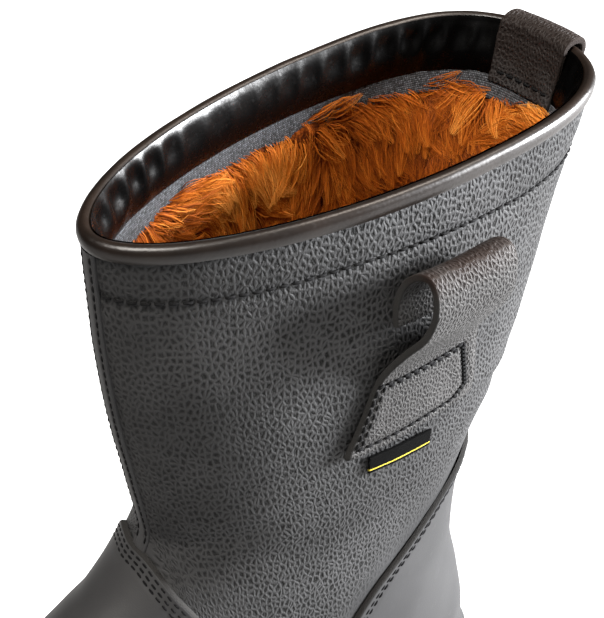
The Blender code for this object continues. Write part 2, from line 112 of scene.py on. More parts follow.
def camera_switch(tree, lit, seen):
    """One value for the light that a backdrop gives, and another for how it looks to the camera."""
    ray = tree.nodes.new("ShaderNodeLightPath")
    switch = tree.nodes.new("ShaderNodeMapRange")
    switch.inputs["To Min"].default_value = lit
    switch.inputs["To Max"].default_value = seen
    tree.links.new(ray.outputs["Is Camera Ray"], switch.inputs["Value"])
    return switch.outputs["Result"]


def add_floor():
    half = FLOOR_SIZE / 2
    corners = [(-half, -half, 0), (half, -half, 0), (half, half, 0), (-half, half, 0)]
    mesh = bpy.data.meshes.new("floor")
    mesh.from_pydata(corners, [], [(0, 1, 2, 3)])
    floor = bpy.data.objects.new("floor", mesh)
    bpy.context.scene.collection.objects.link(floor)
    material = bpy.data.materials.new("floor")
    material.use_nodes = True
    shader = material.node_tree.nodes["Principled BSDF"]
    shader.inputs["Base Color"].default_value = (*FLOOR_COLOR, 1)
    shader.inputs["Roughness"].default_value = FLOOR_ROUGH
    shader.inputs["Emission Color"].default_value = (1, 1, 1, 1)
    glow = camera_switch(material.node_tree, FLOOR_GLOW, FLOOR_SEEN)
    material.node_tree.links.new(glow, shader.inputs["Emission Strength"])
    mesh.materials.append(material)


def add_sky():
    world = bpy.context.scene.world or bpy.data.worlds.new("world")
    bpy.context.scene.world = world
    world.use_nodes = True
    sky = world.node_tree.nodes["Background"]
    sky.inputs["Color"].default_value = (*SKY_COLOR, 1)
    glow = camera_switch(world.node_tree, SKY_GLOW, SKY_SEEN)
    world.node_tree.links.new(glow, sky.inputs["Strength"])
    bpy.context.scene.view_settings.view_transform = "Standard"


add_floor()
add_sky()
print("floor", FLOOR_SIZE, "m wide")

# %% Soft boxes
SoftBox = namedtuple("SoftBox", "name place aim width height power color")
SOFT_BOXES = [
    SoftBox("flank_light", (-1.25, 0.72, 0.52), (-0.06, 0.03, 0.20), 0.40, 0.40, 142.0, (0.97, 0.98, 1.0)),
    SoftBox("top_light", (0.42, 0.14, 1.36), (0.0, 0.0, 0.20), 0.6, 0.6, 27.0, (1.0, 0.95, 0.89)),
    SoftBox("back_light", (-0.62, 0.10, 1.30), (-0.06, 0.0, 0.24), 0.4, 0.4, 9.0, (1.0, 0.90, 0.80)),
    SoftBox("front_light", (0.9, 1.0, 1.0), (0.0, 0.0, 0.15), 1.0, 1.0, 0.6, (1.0, 1.0, 1.0)),
]


def add_light(box):
    data = bpy.data.lights.new(box.name, "AREA")
    data.shape = "RECTANGLE"
    data.size = box.width
    data.size_y = box.height
    data.energy = box.power
    data.color = box.color
    light = bpy.data.objects.new(box.name, data)
    light.location = box.place
    light.rotation_mode = "QUATERNION"
    light.rotation_quaternion = (Vector(box.aim) - Vector(box.place)).to_track_quat("-Z", "Y")
    bpy.context.scene.collection.objects.link(light)


for box in SOFT_BOXES:
    add_light(box)
print("lights:", [box.name for box in SOFT_BOXES])

# %% [markdown]
# ## The last: one surface for every leather piece
#
# All the leather lies on one curved surface, the last. It is drawn as cross sections from the
# collar down the shaft, round the heel and along the foot. The same short table that gave the
# solids is read here at a much finer step. A place on the surface is named by its section, its
# fraction of the way from the front line to the base, and its side (1 outer, -1 inner).

# %% The section table
COLLAR_RIM = 268.2
HEEL_BACK, TOE_TIP = -125.5, 163.0
HEEL_ROUND, TOE_ROUND = 36.0, 50.0
HEEL_POWER, TOE_POWER = 2.2, 2.4
WALL = 1.9
Section = namedtuple("Section", "top_x top_z base_x base_z outer inner widest top_power base_power")
SECTIONS = [
    Section(17.3, COLLAR_RIM, -164.8, COLLAR_RIM, 41.4, 41.0, 0.61, 1.88, 2.8),
    Section(17.0, 237.0, -154.9, 237.0, 41.8, 41.6, 0.57, 1.86, 2.85),
    Section(15.0, 205.0, -145.8, 205.0, 42.2, 42.2, 0.53, 1.84, 2.85),
    Section(10.8, 174.0, -136.8, 172.0, 41.2, 41.2, 0.50, 1.85, 2.75),
    Section(7.7, 151.0, -126.6, 140.0, 39.4, 39.4, 0.50, 1.90, 2.4),
    Section(10.4, 142.6, -119.8, 114.0, 38.2, 38.2, 0.50, 1.95, 2.3),
    Section(15.4, 136.6, -118.8, 88.0, 37.8, 37.8, 0.52, 2.00, 2.35),
    Section(21.2, 132.2, -122.2, 66.0, 38.5, 38.5, 0.56, 2.00, 2.5),
    Section(27.8, 128.2, -125.3, 44.0, 39.5, 39.2, 0.59, 2.00, 2.6),
    Section(33.0, 125.4, HEEL_BACK, None, 40.0, 39.5, 0.61, 2.00, 2.6),
    Section(39.3, 122.6, -118.0, None, 40.5, 39.8, 0.62, 2.00, 2.5),
    Section(49.3, 116.8, -95.0, None, 42.0, 40.2, 0.64, 2.02, 2.4),
    Section(60.8, 110.4, -55.0, None, 44.0, 40.6, 0.66, 2.05, 2.3),
    Section(75.0, 104.2, 0.0, None, 48.0, 42.0, 0.69, 2.10, 2.3),
    Section(90.0, 97.6, 50.0, None, 53.0, 46.5, 0.68, 2.15, 2.3),
    Section(105.0, 92.4, 88.0, None, 52.5, 49.0, 0.62, 2.20, 2.3),
    Section(121.0, 87.4, 118.0, None, 49.0, 48.5, 0.56, 2.25, 2.3),
    Section(138.0, 81.5, 138.0, None, 46.5, 47.0, 0.52, 2.30, 2.3),
    Section(151.0, 73.6, 151.0, None, 45.0, 46.0, 0.50, 2.30, 2.3),
    Section(159.5, 62.0, 159.5, None, 44.0, 45.0, 0.50, 2.30, 2.3),
    Section(TOE_TIP, 47.0, TOE_TIP, None, 43.0, 44.0, 0.50, 2.30, 2.3),
]
HEEL_ROW = next(i for i, row in enumerate(SECTIONS) if row.base_z is None)
LAST_ROW = len(SECTIONS) - 1
Width = namedtuple("Width", "x outer inner")
OUTLINE = [
    Width(-125.5, 34.5, 34.5), Width(-95.0, 35.5, 35.0), Width(-55.0, 36.5, 33.0),
    Width(-15.0, 41.0, 33.5), Width(25.0, 47.0, 38.5), Width(60.0, 50.0, 44.5),
    Width(95.0, 48.0, 46.0), Width(125.0, 44.0, 44.0), Width(163.0, 40.0, 41.0),
]
Level = namedtuple("Level", "x z")
FEATHER = [Level(-140, 31.5), Level(-95, 31.0), Level(-55, 29.5), Level(-5, 25.5), Level(45, 23.2),
           Level(85, 23.2), Level(120, 26.0), Level(170, 35.0)]
print(len(SECTIONS), "sections of the last")


# %% Curves through points
def smooth_curve(knots, values, at):
    """Monotone cubic through the knots: smooth, and it never overshoots them."""
    knots = np.asarray(knots, float)
    values = np.asarray(values, float)
    at = np.asarray(at, float)
    step = np.diff(knots)
    slope = np.diff(values) / step
    tangent = np.zeros(len(knots))
    same_way = slope[:-1] * slope[1:] > 0
    total = np.where(same_way, slope[:-1] + slope[1:], 1.0)
    tangent[1:-1] = np.where(same_way, 2 * slope[:-1] * slope[1:] / total, 0.0)
    tangent[0] = slope[0]
    tangent[-1] = slope[-1]
    i = np.clip(np.searchsorted(knots, at, side="right") - 1, 0, len(step) - 1)
    u = (at - knots[i]) / step[i]
    start = values[i] + step[i] * tangent[i] * u * (1 - u) ** 2
    rise = (values[i + 1] - values[i]) * u * u * (3 - 2 * u)
    return start + rise - step[i] * tangent[i + 1] * u * u * (1 - u)


def through_points(points, count):
    """Catmull-Rom curve through given points, each with any number of columns."""
    points = np.asarray(points, float)
    padded = np.vstack([2 * points[0] - points[1], points, 2 * points[-1] - points[-2]])
    at = np.linspace(0, len(points) - 1, count)
    i = np.minimum(at.astype(int), len(points) - 2)
    u = (at - i)[:, None]
    a, b, c, d = (padded[i + k] for k in range(4))
    return b + 0.5 * u * (c - a + u * (2 * a - 5 * b + 4 * c - d + u * (3 * (b - c) + d - a)))


def walked_along(points):
    """Distance walked to each point of a line, or of each line of a grid."""
    step = np.linalg.norm(np.diff(points, axis=-2), axis=-1)
    return np.concatenate([0 * step[..., :1], np.cumsum(step, axis=-1)], axis=-1)


def unit(vectors):
    return vectors / np.maximum(np.linalg.norm(vectors, axis=-1, keepdims=True), 1e-9)


# %% The surface between the sections
SECTION_STEPS = 361


def feather_z(x):
    return smooth_curve([row.x for row in FEATHER], [row.z for row in FEATHER], x)


def end_round(x):
    """1 along the foot, falling to 0 at the heel's back and at the toe's tip."""
    heel = np.clip((HEEL_BACK + HEEL_ROUND - x) / HEEL_ROUND, 0, 1)
    toe = np.clip((x - TOE_TIP + TOE_ROUND) / TOE_ROUND, 0, 1)
    return (1 - heel ** HEEL_POWER) ** (1 / HEEL_POWER) * (1 - toe ** TOE_POWER) ** (1 / TOE_POWER)


def outline_half(x, side):
    column = [row.outer if side > 0 else row.inner for row in OUTLINE]
    return smooth_curve([row.x for row in OUTLINE], column, x) * end_round(x)


def section_at(place):
    """Columns of the section table, read between its rows."""
    rows = np.arange(len(SECTIONS))
    base_z = [feather_z(row.base_x) if row.base_z is None else row.base_z for row in SECTIONS]
    table = [row._replace(base_z=z) for row, z in zip(SECTIONS, base_z)]
    return Section(*(smooth_curve(rows, column, place) for column in zip(*table)))


def skin_line(place, side, fractions):
    """Points of one section at fractions of its length, from the front line to its base."""
    cut = section_at(place)
    half = cut.outer if side > 0 else cut.inner
    toe = np.clip((cut.base_x - TOE_TIP + TOE_ROUND) / TOE_ROUND, 0, 1)
    half = half * (1 - toe ** TOE_POWER) ** (1 / TOE_POWER)
    edge = outline_half(cut.base_x, side) if place > HEEL_ROW else 0.0
    turn = np.linspace(0, pi, SECTION_STEPS)
    upper = turn <= pi / 2
    power = np.where(upper, cut.top_power, cut.base_power)
    along = np.abs(np.cos(turn)) ** (2 / power)
    bulge = np.abs(np.sin(turn)) ** (2 / power)
    down = np.where(upper, cut.widest * (1 - along), cut.widest + (1 - cut.widest) * along)
    y = np.where(upper, half * bulge, edge + (half - edge) * bulge)
    x = cut.top_x + (cut.base_x - cut.top_x) * down
    z = cut.top_z + (cut.base_z - cut.top_z) * down
    line = np.stack([x, side * y, z], axis=1)
    walked = walked_along(line)
    even = np.asarray(fractions) * walked[-1]
    return np.stack([np.interp(even, walked, column) for column in line.T], axis=1)


print("feather line", round(float(feather_z(0.0)), 1), "mm over the floor at the arch")

# %% Sample the surface once, with its normals
PLACE_STEP = 0.02
PLACES = np.arange(0, LAST_ROW + PLACE_STEP / 2, PLACE_STEP)
FRACTIONS = np.linspace(0, 1, 241)
EASE_REACH, EASE_SPREAD = 1.4, 0.6      # in rows of the table, to either side of the heel's row
EASE_MARGIN = 0.15                      # share of a section that stays as it is at either end
EASE_PASSES = 500


def ease_heel(grid):
    """Round off the crease where the sections pass from the back line to the outline of the sole."""
    near = np.flatnonzero(np.abs(PLACES - HEEL_ROW) < EASE_REACH)
    reach = np.exp(-((PLACES[near] - HEEL_ROW) / EASE_SPREAD) ** 2)[:, None]
    base_side = np.clip((1 - FRACTIONS) / EASE_MARGIN, 0, 1)
    weight = 0.5 * reach * base_side * np.clip(FRACTIONS / EASE_MARGIN, 0, 1)
    part = grid[near]
    for _ in range(EASE_PASSES):
        part[1:-1] += weight[1:-1, :, None] * ((part[:-2] + part[2:]) / 2 - part[1:-1])
    grid[near] = part


def sample_last():
    """Points and outward normals of both sides on a fine grid of places and fractions."""
    sides = {side: np.stack([skin_line(place, side, FRACTIONS) for place in PLACES]) for side in (1, -1)}
    for grid in sides.values():
        ease_heel(grid)
    whole = np.concatenate([sides[-1][:, :0:-1], sides[1]], axis=1)
    normal = unit(np.cross(np.gradient(whole, axis=1), np.gradient(whole, axis=0)))
    middle = len(FRACTIONS) - 1
    if normal[0, middle + middle // 2, 1] < 0:
        normal = -normal
    shaft = PLACES <= HEEL_ROW
    joined = unit(normal[:, 0] + normal[:, -1])
    normal[shaft, 0] = joined[shaft]
    normal[shaft, -1] = joined[shaft]
    normal[-1] = unit(normal[-2] + normal[-2, ::-1])
    normals = {1: normal[:, middle:], -1: normal[:, middle::-1]}
    return sides, normals


skin_points, skin_normals = sample_last()
print("last sampled at", skin_points[1].shape[:2], "places and fractions on each side")


# %% Read the surface anywhere
def read_grid(grid, place, fraction):
    """Value between the four nearest samples of a grid of the surface."""
    row = np.clip(np.asarray(place, float) / PLACE_STEP, 0, len(PLACES) - 1 - 1e-6)
    column = np.clip(np.asarray(fraction, float) * (len(FRACTIONS) - 1), 0, len(FRACTIONS) - 1 - 1e-6)
    i, j = row.astype(int), column.astype(int)
    u, v = (row - i)[..., None], (column - j)[..., None]
    near = grid[i, j] * (1 - v) + grid[i, j + 1] * v
    far = grid[i + 1, j] * (1 - v) + grid[i + 1, j + 1] * v
    return near * (1 - u) + far * u


def on_last(place, fraction, side, lift=0.0):
    """Points of the surface, lifted off it along its normal, and those normals."""
    normal = unit(read_grid(skin_normals[side], place, fraction))
    point = read_grid(skin_points[side], place, fraction)
    return point + np.asarray(lift)[..., None] * normal, normal


print("collar", np.round(np.ptp(skin_points[1][0, :, 0]), 1), "mm front to back")

# %% [markdown]
# ## Helpers for meshes
#
# A piece is a set of grids of points. Grids that share an edge are welded, so that light runs over
# the join without a line. Slow bumps and lumps come from a soft noise on a fixed lattice, which gives
# the same boot each time.

# %% Grids and welds
def grid_faces(rows, columns, start=0, ring=False, flip=False):
    """Corner numbers of the quads of a grid; a ring joins the last column to the first."""
    i = np.arange(rows - 1)[:, None]
    j = np.arange(columns if ring else columns - 1)[None, :]
    k = (j + 1) % columns
    corners = [i * columns + j, i * columns + k, (i + 1) * columns + k, (i + 1) * columns + j]
    quads = np.stack([c + 0 * (i + j) for c in corners], axis=-1).reshape(-1, 4) + start
    return quads[:, ::-1] if flip else quads


def join_grids(grids):
    """One list of points and quads from grids given as (points, flip) or (points, flip, ring)."""
    points, quads, start = [], [], 0
    for grid, flip, *ring in grids:
        rows, columns = grid.shape[:2]
        quads.append(grid_faces(rows, columns, start, bool(ring and ring[0]), flip))
        points.append(grid.reshape(-1, grid.shape[-1]))
        start += rows * columns
    return np.concatenate(points), np.concatenate(quads)


def weld(points, faces, reach=0.002):
    """Points closer than reach become one, and faces that this makes too thin become triangles or go.

    Also gives the number that each kept face had before. Columns after the third go along unchanged.
    """
    key = np.round(points[:, :3] / reach).astype(np.int64)
    _, first, again = np.unique(key, axis=0, return_index=True, return_inverse=True)
    faces = again.reshape(-1)[faces]
    kept, number = [], []
    for n, face in enumerate(faces.tolist()):
        corners = [c for k, c in enumerate(face) if c != face[k - 1]]
        if len(set(corners)) == len(corners) >= 3:
            kept.append(corners)
            number.append(n)
    return points[first], kept, np.array(number)


# %% A piece of the boot
def make_piece(name, points, faces, materials, replaced=(), face_material=None, cloth=None):
    """A smooth mesh object that rides on the boot, and hides the solid that it replaces.

    cloth gives each point its place in millimetres along and across the weave, kept as a UV map.
    """
    mesh = bpy.data.meshes.new(name)
    faces = faces.tolist() if isinstance(faces, np.ndarray) else faces
    mesh.from_pydata(in_part(points).tolist(), [], faces)
    for material in materials:
        mesh.materials.append(material)
    if face_material is not None:
        mesh.polygons.foreach_set("material_index", np.asarray(face_material, np.int32))
    if cloth is not None:
        corner = np.empty(len(mesh.loops), np.int32)
        mesh.loops.foreach_get("vertex_index", corner)
        mesh.uv_layers.new(name="cloth").data.foreach_set("uv", np.asarray(cloth, np.float32)[corner].ravel())
    mesh.shade_smooth()
    mesh.update()
    item = bpy.data.objects.new(name, mesh)
    bpy.context.scene.collection.objects.link(item)
    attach(item, "root")
    if replaced:
        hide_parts(*replaced)
    print(name, len(mesh.polygons), "faces")
    return item


def set_mask(piece, name, values):
    """Keep one value for each point as a named attribute that a material can read."""
    mask = piece.data.attributes.new(name, "FLOAT", "POINT")
    mask.data.foreach_set("value", np.asarray(values, np.float32).ravel())


# %% Lumps and troughs
LATTICE = 64


def soft_noise(u, v, seed):
    """Smooth noise between -1 and 1 over two coordinates, with a lump for each unit."""
    lattice = np.random.default_rng(seed).uniform(-1, 1, (LATTICE, LATTICE))
    u, v = np.broadcast_arrays(np.asarray(u, float), np.asarray(v, float))
    i, j = np.floor(u).astype(int), np.floor(v).astype(int)
    a, b = u - i, v - j
    a, b = a * a * (3 - 2 * a), b * b * (3 - 2 * b)
    corner = [[lattice[(i + p) % LATTICE, (j + q) % LATTICE] for q in (0, 1)] for p in (0, 1)]
    near, far = (pair[0] * (1 - b) + pair[1] * b for pair in corner)
    return near * (1 - a) + far * a


def trough(distance, width):
    """1 at distance 0, falling smoothly to 0 a few widths away."""
    return np.exp(-(np.asarray(distance) / width) ** 2)


# %% [markdown]
# ## Shared finishes as node groups
#
# The embossed leather shows a net of soft raised veins round small hollows, a little taller than
# wide. A flat Voronoi texture's distance to the edge of its cells gives both: the veins lie on the edges,
# and the hollows sink between them. It is laid on a map of the leather in millimetres, kept as a UV map, so
# that it is never cut at a slant as a solid texture would be. Bending the coordinates with a noise keeps
# the net from looking like a diagram. The group puts out a height for the bump and a mask of the
# hollows for colour and gloss; the colour paints shade into the hollows and paints highlight on the
# veins. Each leather sets its own cell size, and where the leather was pulled
# tight over an edge the grain is ironed out.
# Two more groups serve several finishes: fine pores, and the slow change of tone that handling leaves.

# %% Node helpers
def fill_inputs(tree, made, inputs):
    """Set a node's inputs to values, or link them to sockets of other nodes."""
    for name, value in inputs.items():
        if isinstance(value, bpy.types.NodeSocket):
            tree.links.new(value, made.inputs[name])
        else:
            made.inputs[name].default_value = value


def add_node(tree, kind, inputs=None, **settings):
    made = tree.nodes.new(kind)
    for name, value in settings.items():
        setattr(made, name, value)
    fill_inputs(tree, made, inputs or {})
    return made


def calculate(tree, operation, first, second=0.0):
    return add_node(tree, "ShaderNodeMath", {0: first, 1: second}, operation=operation).outputs[0]


def vector_math(tree, operation, first, second):
    return add_node(tree, "ShaderNodeVectorMath", {0: first, 1: second}, operation=operation).outputs[0]


def scaled(tree, vector, scale):
    return add_node(tree, "ShaderNodeVectorMath", {0: vector, "Scale": scale}, operation="SCALE").outputs[0]


def noise(tree, vector, scale, detail):
    return add_node(tree, "ShaderNodeTexNoise", {"Vector": vector, "Scale": scale, "Detail": detail}).outputs


def spread(tree, value, low, high, to_low=0.0, to_high=1.0):
    """Value between low and high, mapped smoothly to another range."""
    inputs = {"Value": value, "From Min": low, "From Max": high, "To Min": to_low, "To Max": to_high}
    return add_node(tree, "ShaderNodeMapRange", inputs, interpolation_type="SMOOTHSTEP").outputs["Result"]


def mix_colors(tree, factor, first, second):
    made = add_node(tree, "ShaderNodeMix", data_type="RGBA")
    sockets = (made.inputs[0], made.inputs[6], made.inputs[7])      # factor, and the two colours
    for socket, value in zip(sockets, (factor, first, second)):
        if isinstance(value, bpy.types.NodeSocket):
            tree.links.new(value, socket)
        else:
            socket.default_value = value if isinstance(value, float) else (*value, 1.0)
    return made.outputs[2]


def new_group(name, inputs, outputs):
    """An empty shader group with named sockets: its tree, its input node and its output node."""
    tree = bpy.data.node_groups.new(name, "ShaderNodeTree")
    for label, (kind, value) in inputs.items():
        socket = tree.interface.new_socket(label, in_out="INPUT", socket_type=kind)
        if value is not None:
            socket.default_value = value
    for label in outputs:
        kind = "NodeSocketColor" if label == "Color" else "NodeSocketFloat"
        tree.interface.new_socket(label, in_out="OUTPUT", socket_type=kind)
    return tree, tree.nodes.new("NodeGroupInput"), tree.nodes.new("NodeGroupOutput")


FLOAT, VECTOR = "NodeSocketFloat", "NodeSocketVector"


# %% Pebbled grain
CELL_STRETCH = (1.0, 0.70, 1.0)         # cells are a little taller than wide
IRONED_AWAY = 0.88                      # share of the grain that ironing takes


def make_pebble_group():
    inputs = {"Cloth mm": (VECTOR, None), "Cell mm": (FLOAT, 2.4)}
    inputs |= {"Bend": (FLOAT, 0.35), "Ironed": (FLOAT, 0.0)}
    tree, given, put = new_group("pebble_grain", inputs, ["Height", "Pit"])
    per_mm = calculate(tree, "DIVIDE", 1.0, given.outputs["Cell mm"])
    even = scaled(tree, given.outputs["Cloth mm"], per_mm)
    cells = vector_math(tree, "MULTIPLY", even, CELL_STRETCH)
    wander = vector_math(tree, "SUBTRACT", noise(tree, cells, 0.7, 2.0)["Color"], (0.5, 0.5, 0.5))
    bend = scaled(tree, wander, calculate(tree, "MULTIPLY", given.outputs["Bend"], 2.0))
    cell = {"Vector": vector_math(tree, "ADD", cells, bend), "Scale": 1.0, "Randomness": 0.85}
    edge = add_node(tree, "ShaderNodeTexVoronoi", cell, feature="DISTANCE_TO_EDGE", voronoi_dimensions="2D")
    slow = noise(tree, cells, 0.28, 1.0)["Fac"]
    pores = noise(tree, cells, 3.4, 4.0)["Fac"]
    hollow = spread(tree, edge.outputs["Distance"], 0.05, 0.42)
    deep = calculate(tree, "MULTIPLY", hollow, spread(tree, slow, 0.36, 0.62, 0.8, 1.0))
    taken = calculate(tree, "MULTIPLY", given.outputs["Ironed"], IRONED_AWAY)
    left = calculate(tree, "SUBTRACT", 1.0, taken)
    mottle = spread(tree, pores, 0.30, 0.70, 1.25, 0.75)
    pit = calculate(tree, "MULTIPLY", calculate(tree, "MULTIPLY", deep, left), mottle)
    rough = calculate(tree, "MULTIPLY", calculate(tree, "MULTIPLY", pores, 0.5), left)
    tree.links.new(calculate(tree, "SUBTRACT", rough, pit), put.inputs["Height"])
    tree.links.new(pit, put.inputs["Pit"])
    return tree


pebble_group = make_pebble_group()
print("node group:", pebble_group.name)

# %% Fine pores, and the tone of handled hide
MM_A_METRE = 1000.0


def make_pore_group():
    inputs = {"Place": (VECTOR, None), "Pore mm": (FLOAT, 0.7)}
    tree, given, put = new_group("fine_pores", inputs, ["Height", "Speck"])
    per_metre = calculate(tree, "DIVIDE", MM_A_METRE, given.outputs["Pore mm"])
    cells = scaled(tree, given.outputs["Place"], per_metre)
    pore = add_node(tree, "ShaderNodeTexVoronoi", {"Vector": cells, "Scale": 1.0}, feature="F1")
    fuzz = noise(tree, cells, 0.9, 4.0)["Fac"]
    sunk = calculate(tree, "MULTIPLY", pore.outputs["Distance"], -0.5)
    tree.links.new(calculate(tree, "ADD", sunk, fuzz), put.inputs["Height"])
    tree.links.new(spread(tree, fuzz, 0.35, 0.7), put.inputs["Speck"])
    return tree


def make_tone_group():
    inputs = {"Place": (VECTOR, None), "Patch mm": (FLOAT, 40.0)}
    tree, given, put = new_group("handled_tone", inputs, ["Tone", "Rub"])
    per_metre = calculate(tree, "DIVIDE", MM_A_METRE, given.outputs["Patch mm"])
    patches = scaled(tree, given.outputs["Place"], per_metre)
    slow = noise(tree, patches, 1.0, 4.0)["Fac"]
    quick = noise(tree, patches, 9.0, 3.0)["Fac"]
    tree.links.new(spread(tree, slow, 0.3, 0.7), put.inputs["Tone"])
    tree.links.new(spread(tree, quick, 0.55, 0.8), put.inputs["Rub"])
    return tree


pore_group = make_pore_group()
tone_group = make_tone_group()
print("node groups:", pore_group.name, tone_group.name)

# %% [markdown]
# ## Leather materials
#
# The shaft is pebbled black leather, the straps a finer and paler grain, the overlays a smoother cut,
# and the raw cut edges are matt and fibrous. All four use one recipe: colour and gloss from the masks,
# with painted shade in the hollows of the grain and painted highlight on its veins, a coarse bump over
# a fine one from the heights, and a dark brown tone on the top of a fold that is partly rubbed leather
# and partly painted sheen and shade. Only the numbers differ.

# %% Leather recipe
LEATHER_VALUES = "dark light pebble_mm pebble_depth pore_mm pore_depth roughness pit_rough ironed"
Leather = namedtuple("Leather", LEATHER_VALUES)
# Each leather's dark colour lies in the hollows of the grain as painted shade, and its light colour on the
# veins as painted highlight.
PEBBLED = Leather((0.005, 0.005, 0.005), (0.046, 0.046, 0.047), 1.85, 0.40, 0.55, 0.02, 0.56, 0.25, 0.0)
SMOOTH = Leather((0.018, 0.018, 0.019), (0.042, 0.042, 0.043), 1.3, 0.05, 0.45, 0.03, 0.50, 0.08, 1.0)
RAW_EDGE = Leather((0.008, 0.008, 0.008), (0.024, 0.023, 0.022), 1.1, 0.05, 0.35, 0.20, 0.90, 0.0, 1.0)
STRAP_GRAIN = Leather((0.014, 0.0135, 0.0135), (0.062, 0.060, 0.059), 1.35, 0.34, 0.45, 0.02, 0.50, 0.25, 0.0)
# Dark brown for the top of a fold: partly rubbed leather, partly painted sheen and shade.
FOLD_SHEEN_SHADE_COLOR = (0.012, 0.006, 0.004)
LEATHER_SPECULAR = 0.18
RUBBED_GLOSS = 0.06                     # how much less rough the leather is where it is rubbed


def place_of(tree):
    return add_node(tree, "ShaderNodeTexCoord").outputs["Object"]


def new_material(name):
    material = bpy.data.materials.new(name)
    material.use_nodes = True
    tree = material.node_tree
    return material, tree, tree.nodes["Principled BSDF"]


def group_node(tree, group, inputs):
    return add_node(tree, "ShaderNodeGroup", inputs, node_tree=group).outputs


def add_bump(tree, height, deep_mm, under=None):
    """Normal of a surface raised by a height, over the normal of a finer bump where one is given."""
    inputs = {"Height": height, "Distance": deep_mm * MM, "Strength": 1.0}
    if under is not None:
        inputs["Normal"] = under
    return add_node(tree, "ShaderNodeBump", inputs).outputs[0]


def leather_material(name, kind):
    material, tree, shader = new_material(name)
    place = place_of(tree)
    ironed = add_node(tree, "ShaderNodeAttribute", attribute_name="ironed").outputs["Fac"]
    ironed = calculate(tree, "MAXIMUM", ironed, kind.ironed)
    cloth = add_node(tree, "ShaderNodeUVMap", uv_map="cloth").outputs["UV"]
    pebble = group_node(tree, pebble_group, {"Cloth mm": cloth, "Cell mm": kind.pebble_mm, "Ironed": ironed})
    pore = group_node(tree, pore_group, {"Place": place, "Pore mm": kind.pore_mm})
    tone = group_node(tree, tone_group, {"Place": place})
    # Painted shade and highlight: the hollows of the grain take the dark colour and the veins the light one.
    painted_vein_highlight = calculate(tree, "SUBTRACT", 1.0, pebble["Pit"])
    painted_highlight_share = calculate(tree, "MULTIPLY", spread(tree, tone["Tone"], 0.0, 1.0, 0.6, 1.0), painted_vein_highlight)
    color = mix_colors(tree, painted_highlight_share, kind.dark, kind.light)
    # Painted sheen and shade on the tops of folds, partly real rubbing: a dark brown laid on by a mask.
    fold_sheen_shade = add_node(tree, "ShaderNodeAttribute", attribute_name="fold_sheen_shade").outputs["Fac"]
    tree.links.new(mix_colors(tree, fold_sheen_shade, color, FOLD_SHEEN_SHADE_COLOR), shader.inputs["Base Color"])
    rough = calculate(tree, "MULTIPLY_ADD", pebble["Pit"], kind.pit_rough)
    rough.node.inputs[2].default_value = kind.roughness
    rubbed = calculate(tree, "MULTIPLY", tone["Rub"], RUBBED_GLOSS)
    tree.links.new(calculate(tree, "SUBTRACT", rough, rubbed), shader.inputs["Roughness"])
    shader.inputs["Specular IOR Level"].default_value = LEATHER_SPECULAR
    fine = add_bump(tree, pore["Height"], kind.pore_depth)
    tree.links.new(add_bump(tree, pebble["Height"], kind.pebble_depth, fine), shader.inputs["Normal"])
    return material


pebbled_leather = leather_material("pebbled_leather", PEBBLED)
smooth_leather = leather_material("smooth_leather", SMOOTH)
raw_edge = leather_material("raw_edge", RAW_EDGE)
strap_leather = leather_material("strap_leather", STRAP_GRAIN)
print("leathers ready")

# %% [markdown]
# ## The upper
#
# The shaft and the foot's wall are one hollow skin of pebbled leather, closed below by the sole.
# It is made as two walls, 1.9 mm apart, on the surface of the last. A Solidify modifier could thicken
# one wall, but two grids keep the rim and the sole line where the solid has them. The outer wall
# carries the soft relief that a boot gets in use and in sewing: the row of stitches sinks in under the
# collar, the leather puffs between seams, and a few creases lie across the ankle. Each crease is a
# trough with a low ridge on either side, placed in the boot's own side view. The grain lies on
# a map in millimetres, round the shaft and up.

# %% Creases and relief of the upper
PIPING_SIDE, PIPING_HALF, PIPING_HIGH = -1.4, 3.3, 1.1
PIPING_BOTTOM, PIPING_TOP = 144.5, 265.0
PIPING_ROW = 2.1                        # stitches, from the middle of the strip
STITCH_LEVEL, STITCH_DROP = 251.3, 3.3  # row under the collar: its height, and its drop at the back
DROP_FROM, DROP_RUN = -50, 67           # x at which that drop begins, and how far back it goes on
RIDGE_AT, RIDGE_HIGH = 1.9, 0.45        # in widths and depths of the crease
Crease = namedtuple("Crease", "x z turn long wide deep side")
CREASES = [
    Crease(-14, 158, -0.35, 26, 3.2, 0.4, 1),
    Crease(-26, 146, -0.25, 30, 3.6, 0.35, 1),
    Crease(-62, 142, 0.20, 26, 4.0, 0.25, 1),
    Crease(-16, 160, -0.30, 24, 3.2, 0.45, -1),
    Crease(-30, 148, -0.20, 30, 3.8, 0.45, -1),
    Crease(-70, 150, 0.15, 28, 4.2, 0.4, -1),
    Crease(-112, 168, 0.10, 20, 4.0, 0.7, 1),
    Crease(-110, 166, 0.05, 22, 4.0, 0.7, -1),
]


def stitch_z(x):
    """Height of the row of stitches under the collar, which drops a little towards the back."""
    return STITCH_LEVEL - STITCH_DROP * np.clip((DROP_FROM - x) / DROP_RUN, 0, 1)


def crease_relief(points, side):
    relief = np.zeros(points.shape[:-1])
    for crease in CREASES:
        if crease.side != side:
            continue
        dx, dz = points[..., 0] - crease.x, points[..., 2] - crease.z
        along = dx * cos(crease.turn) + dz * sin(crease.turn)
        across = dz * cos(crease.turn) - dx * sin(crease.turn)
        reach = np.exp(-(along / crease.long) ** 4)
        beside = RIDGE_AT * crease.wide
        ridge = trough(across - beside, crease.wide) + trough(across + beside, crease.wide)
        relief += crease.deep * reach * (RIDGE_HIGH * ridge - trough(across, crease.wide))
    return relief


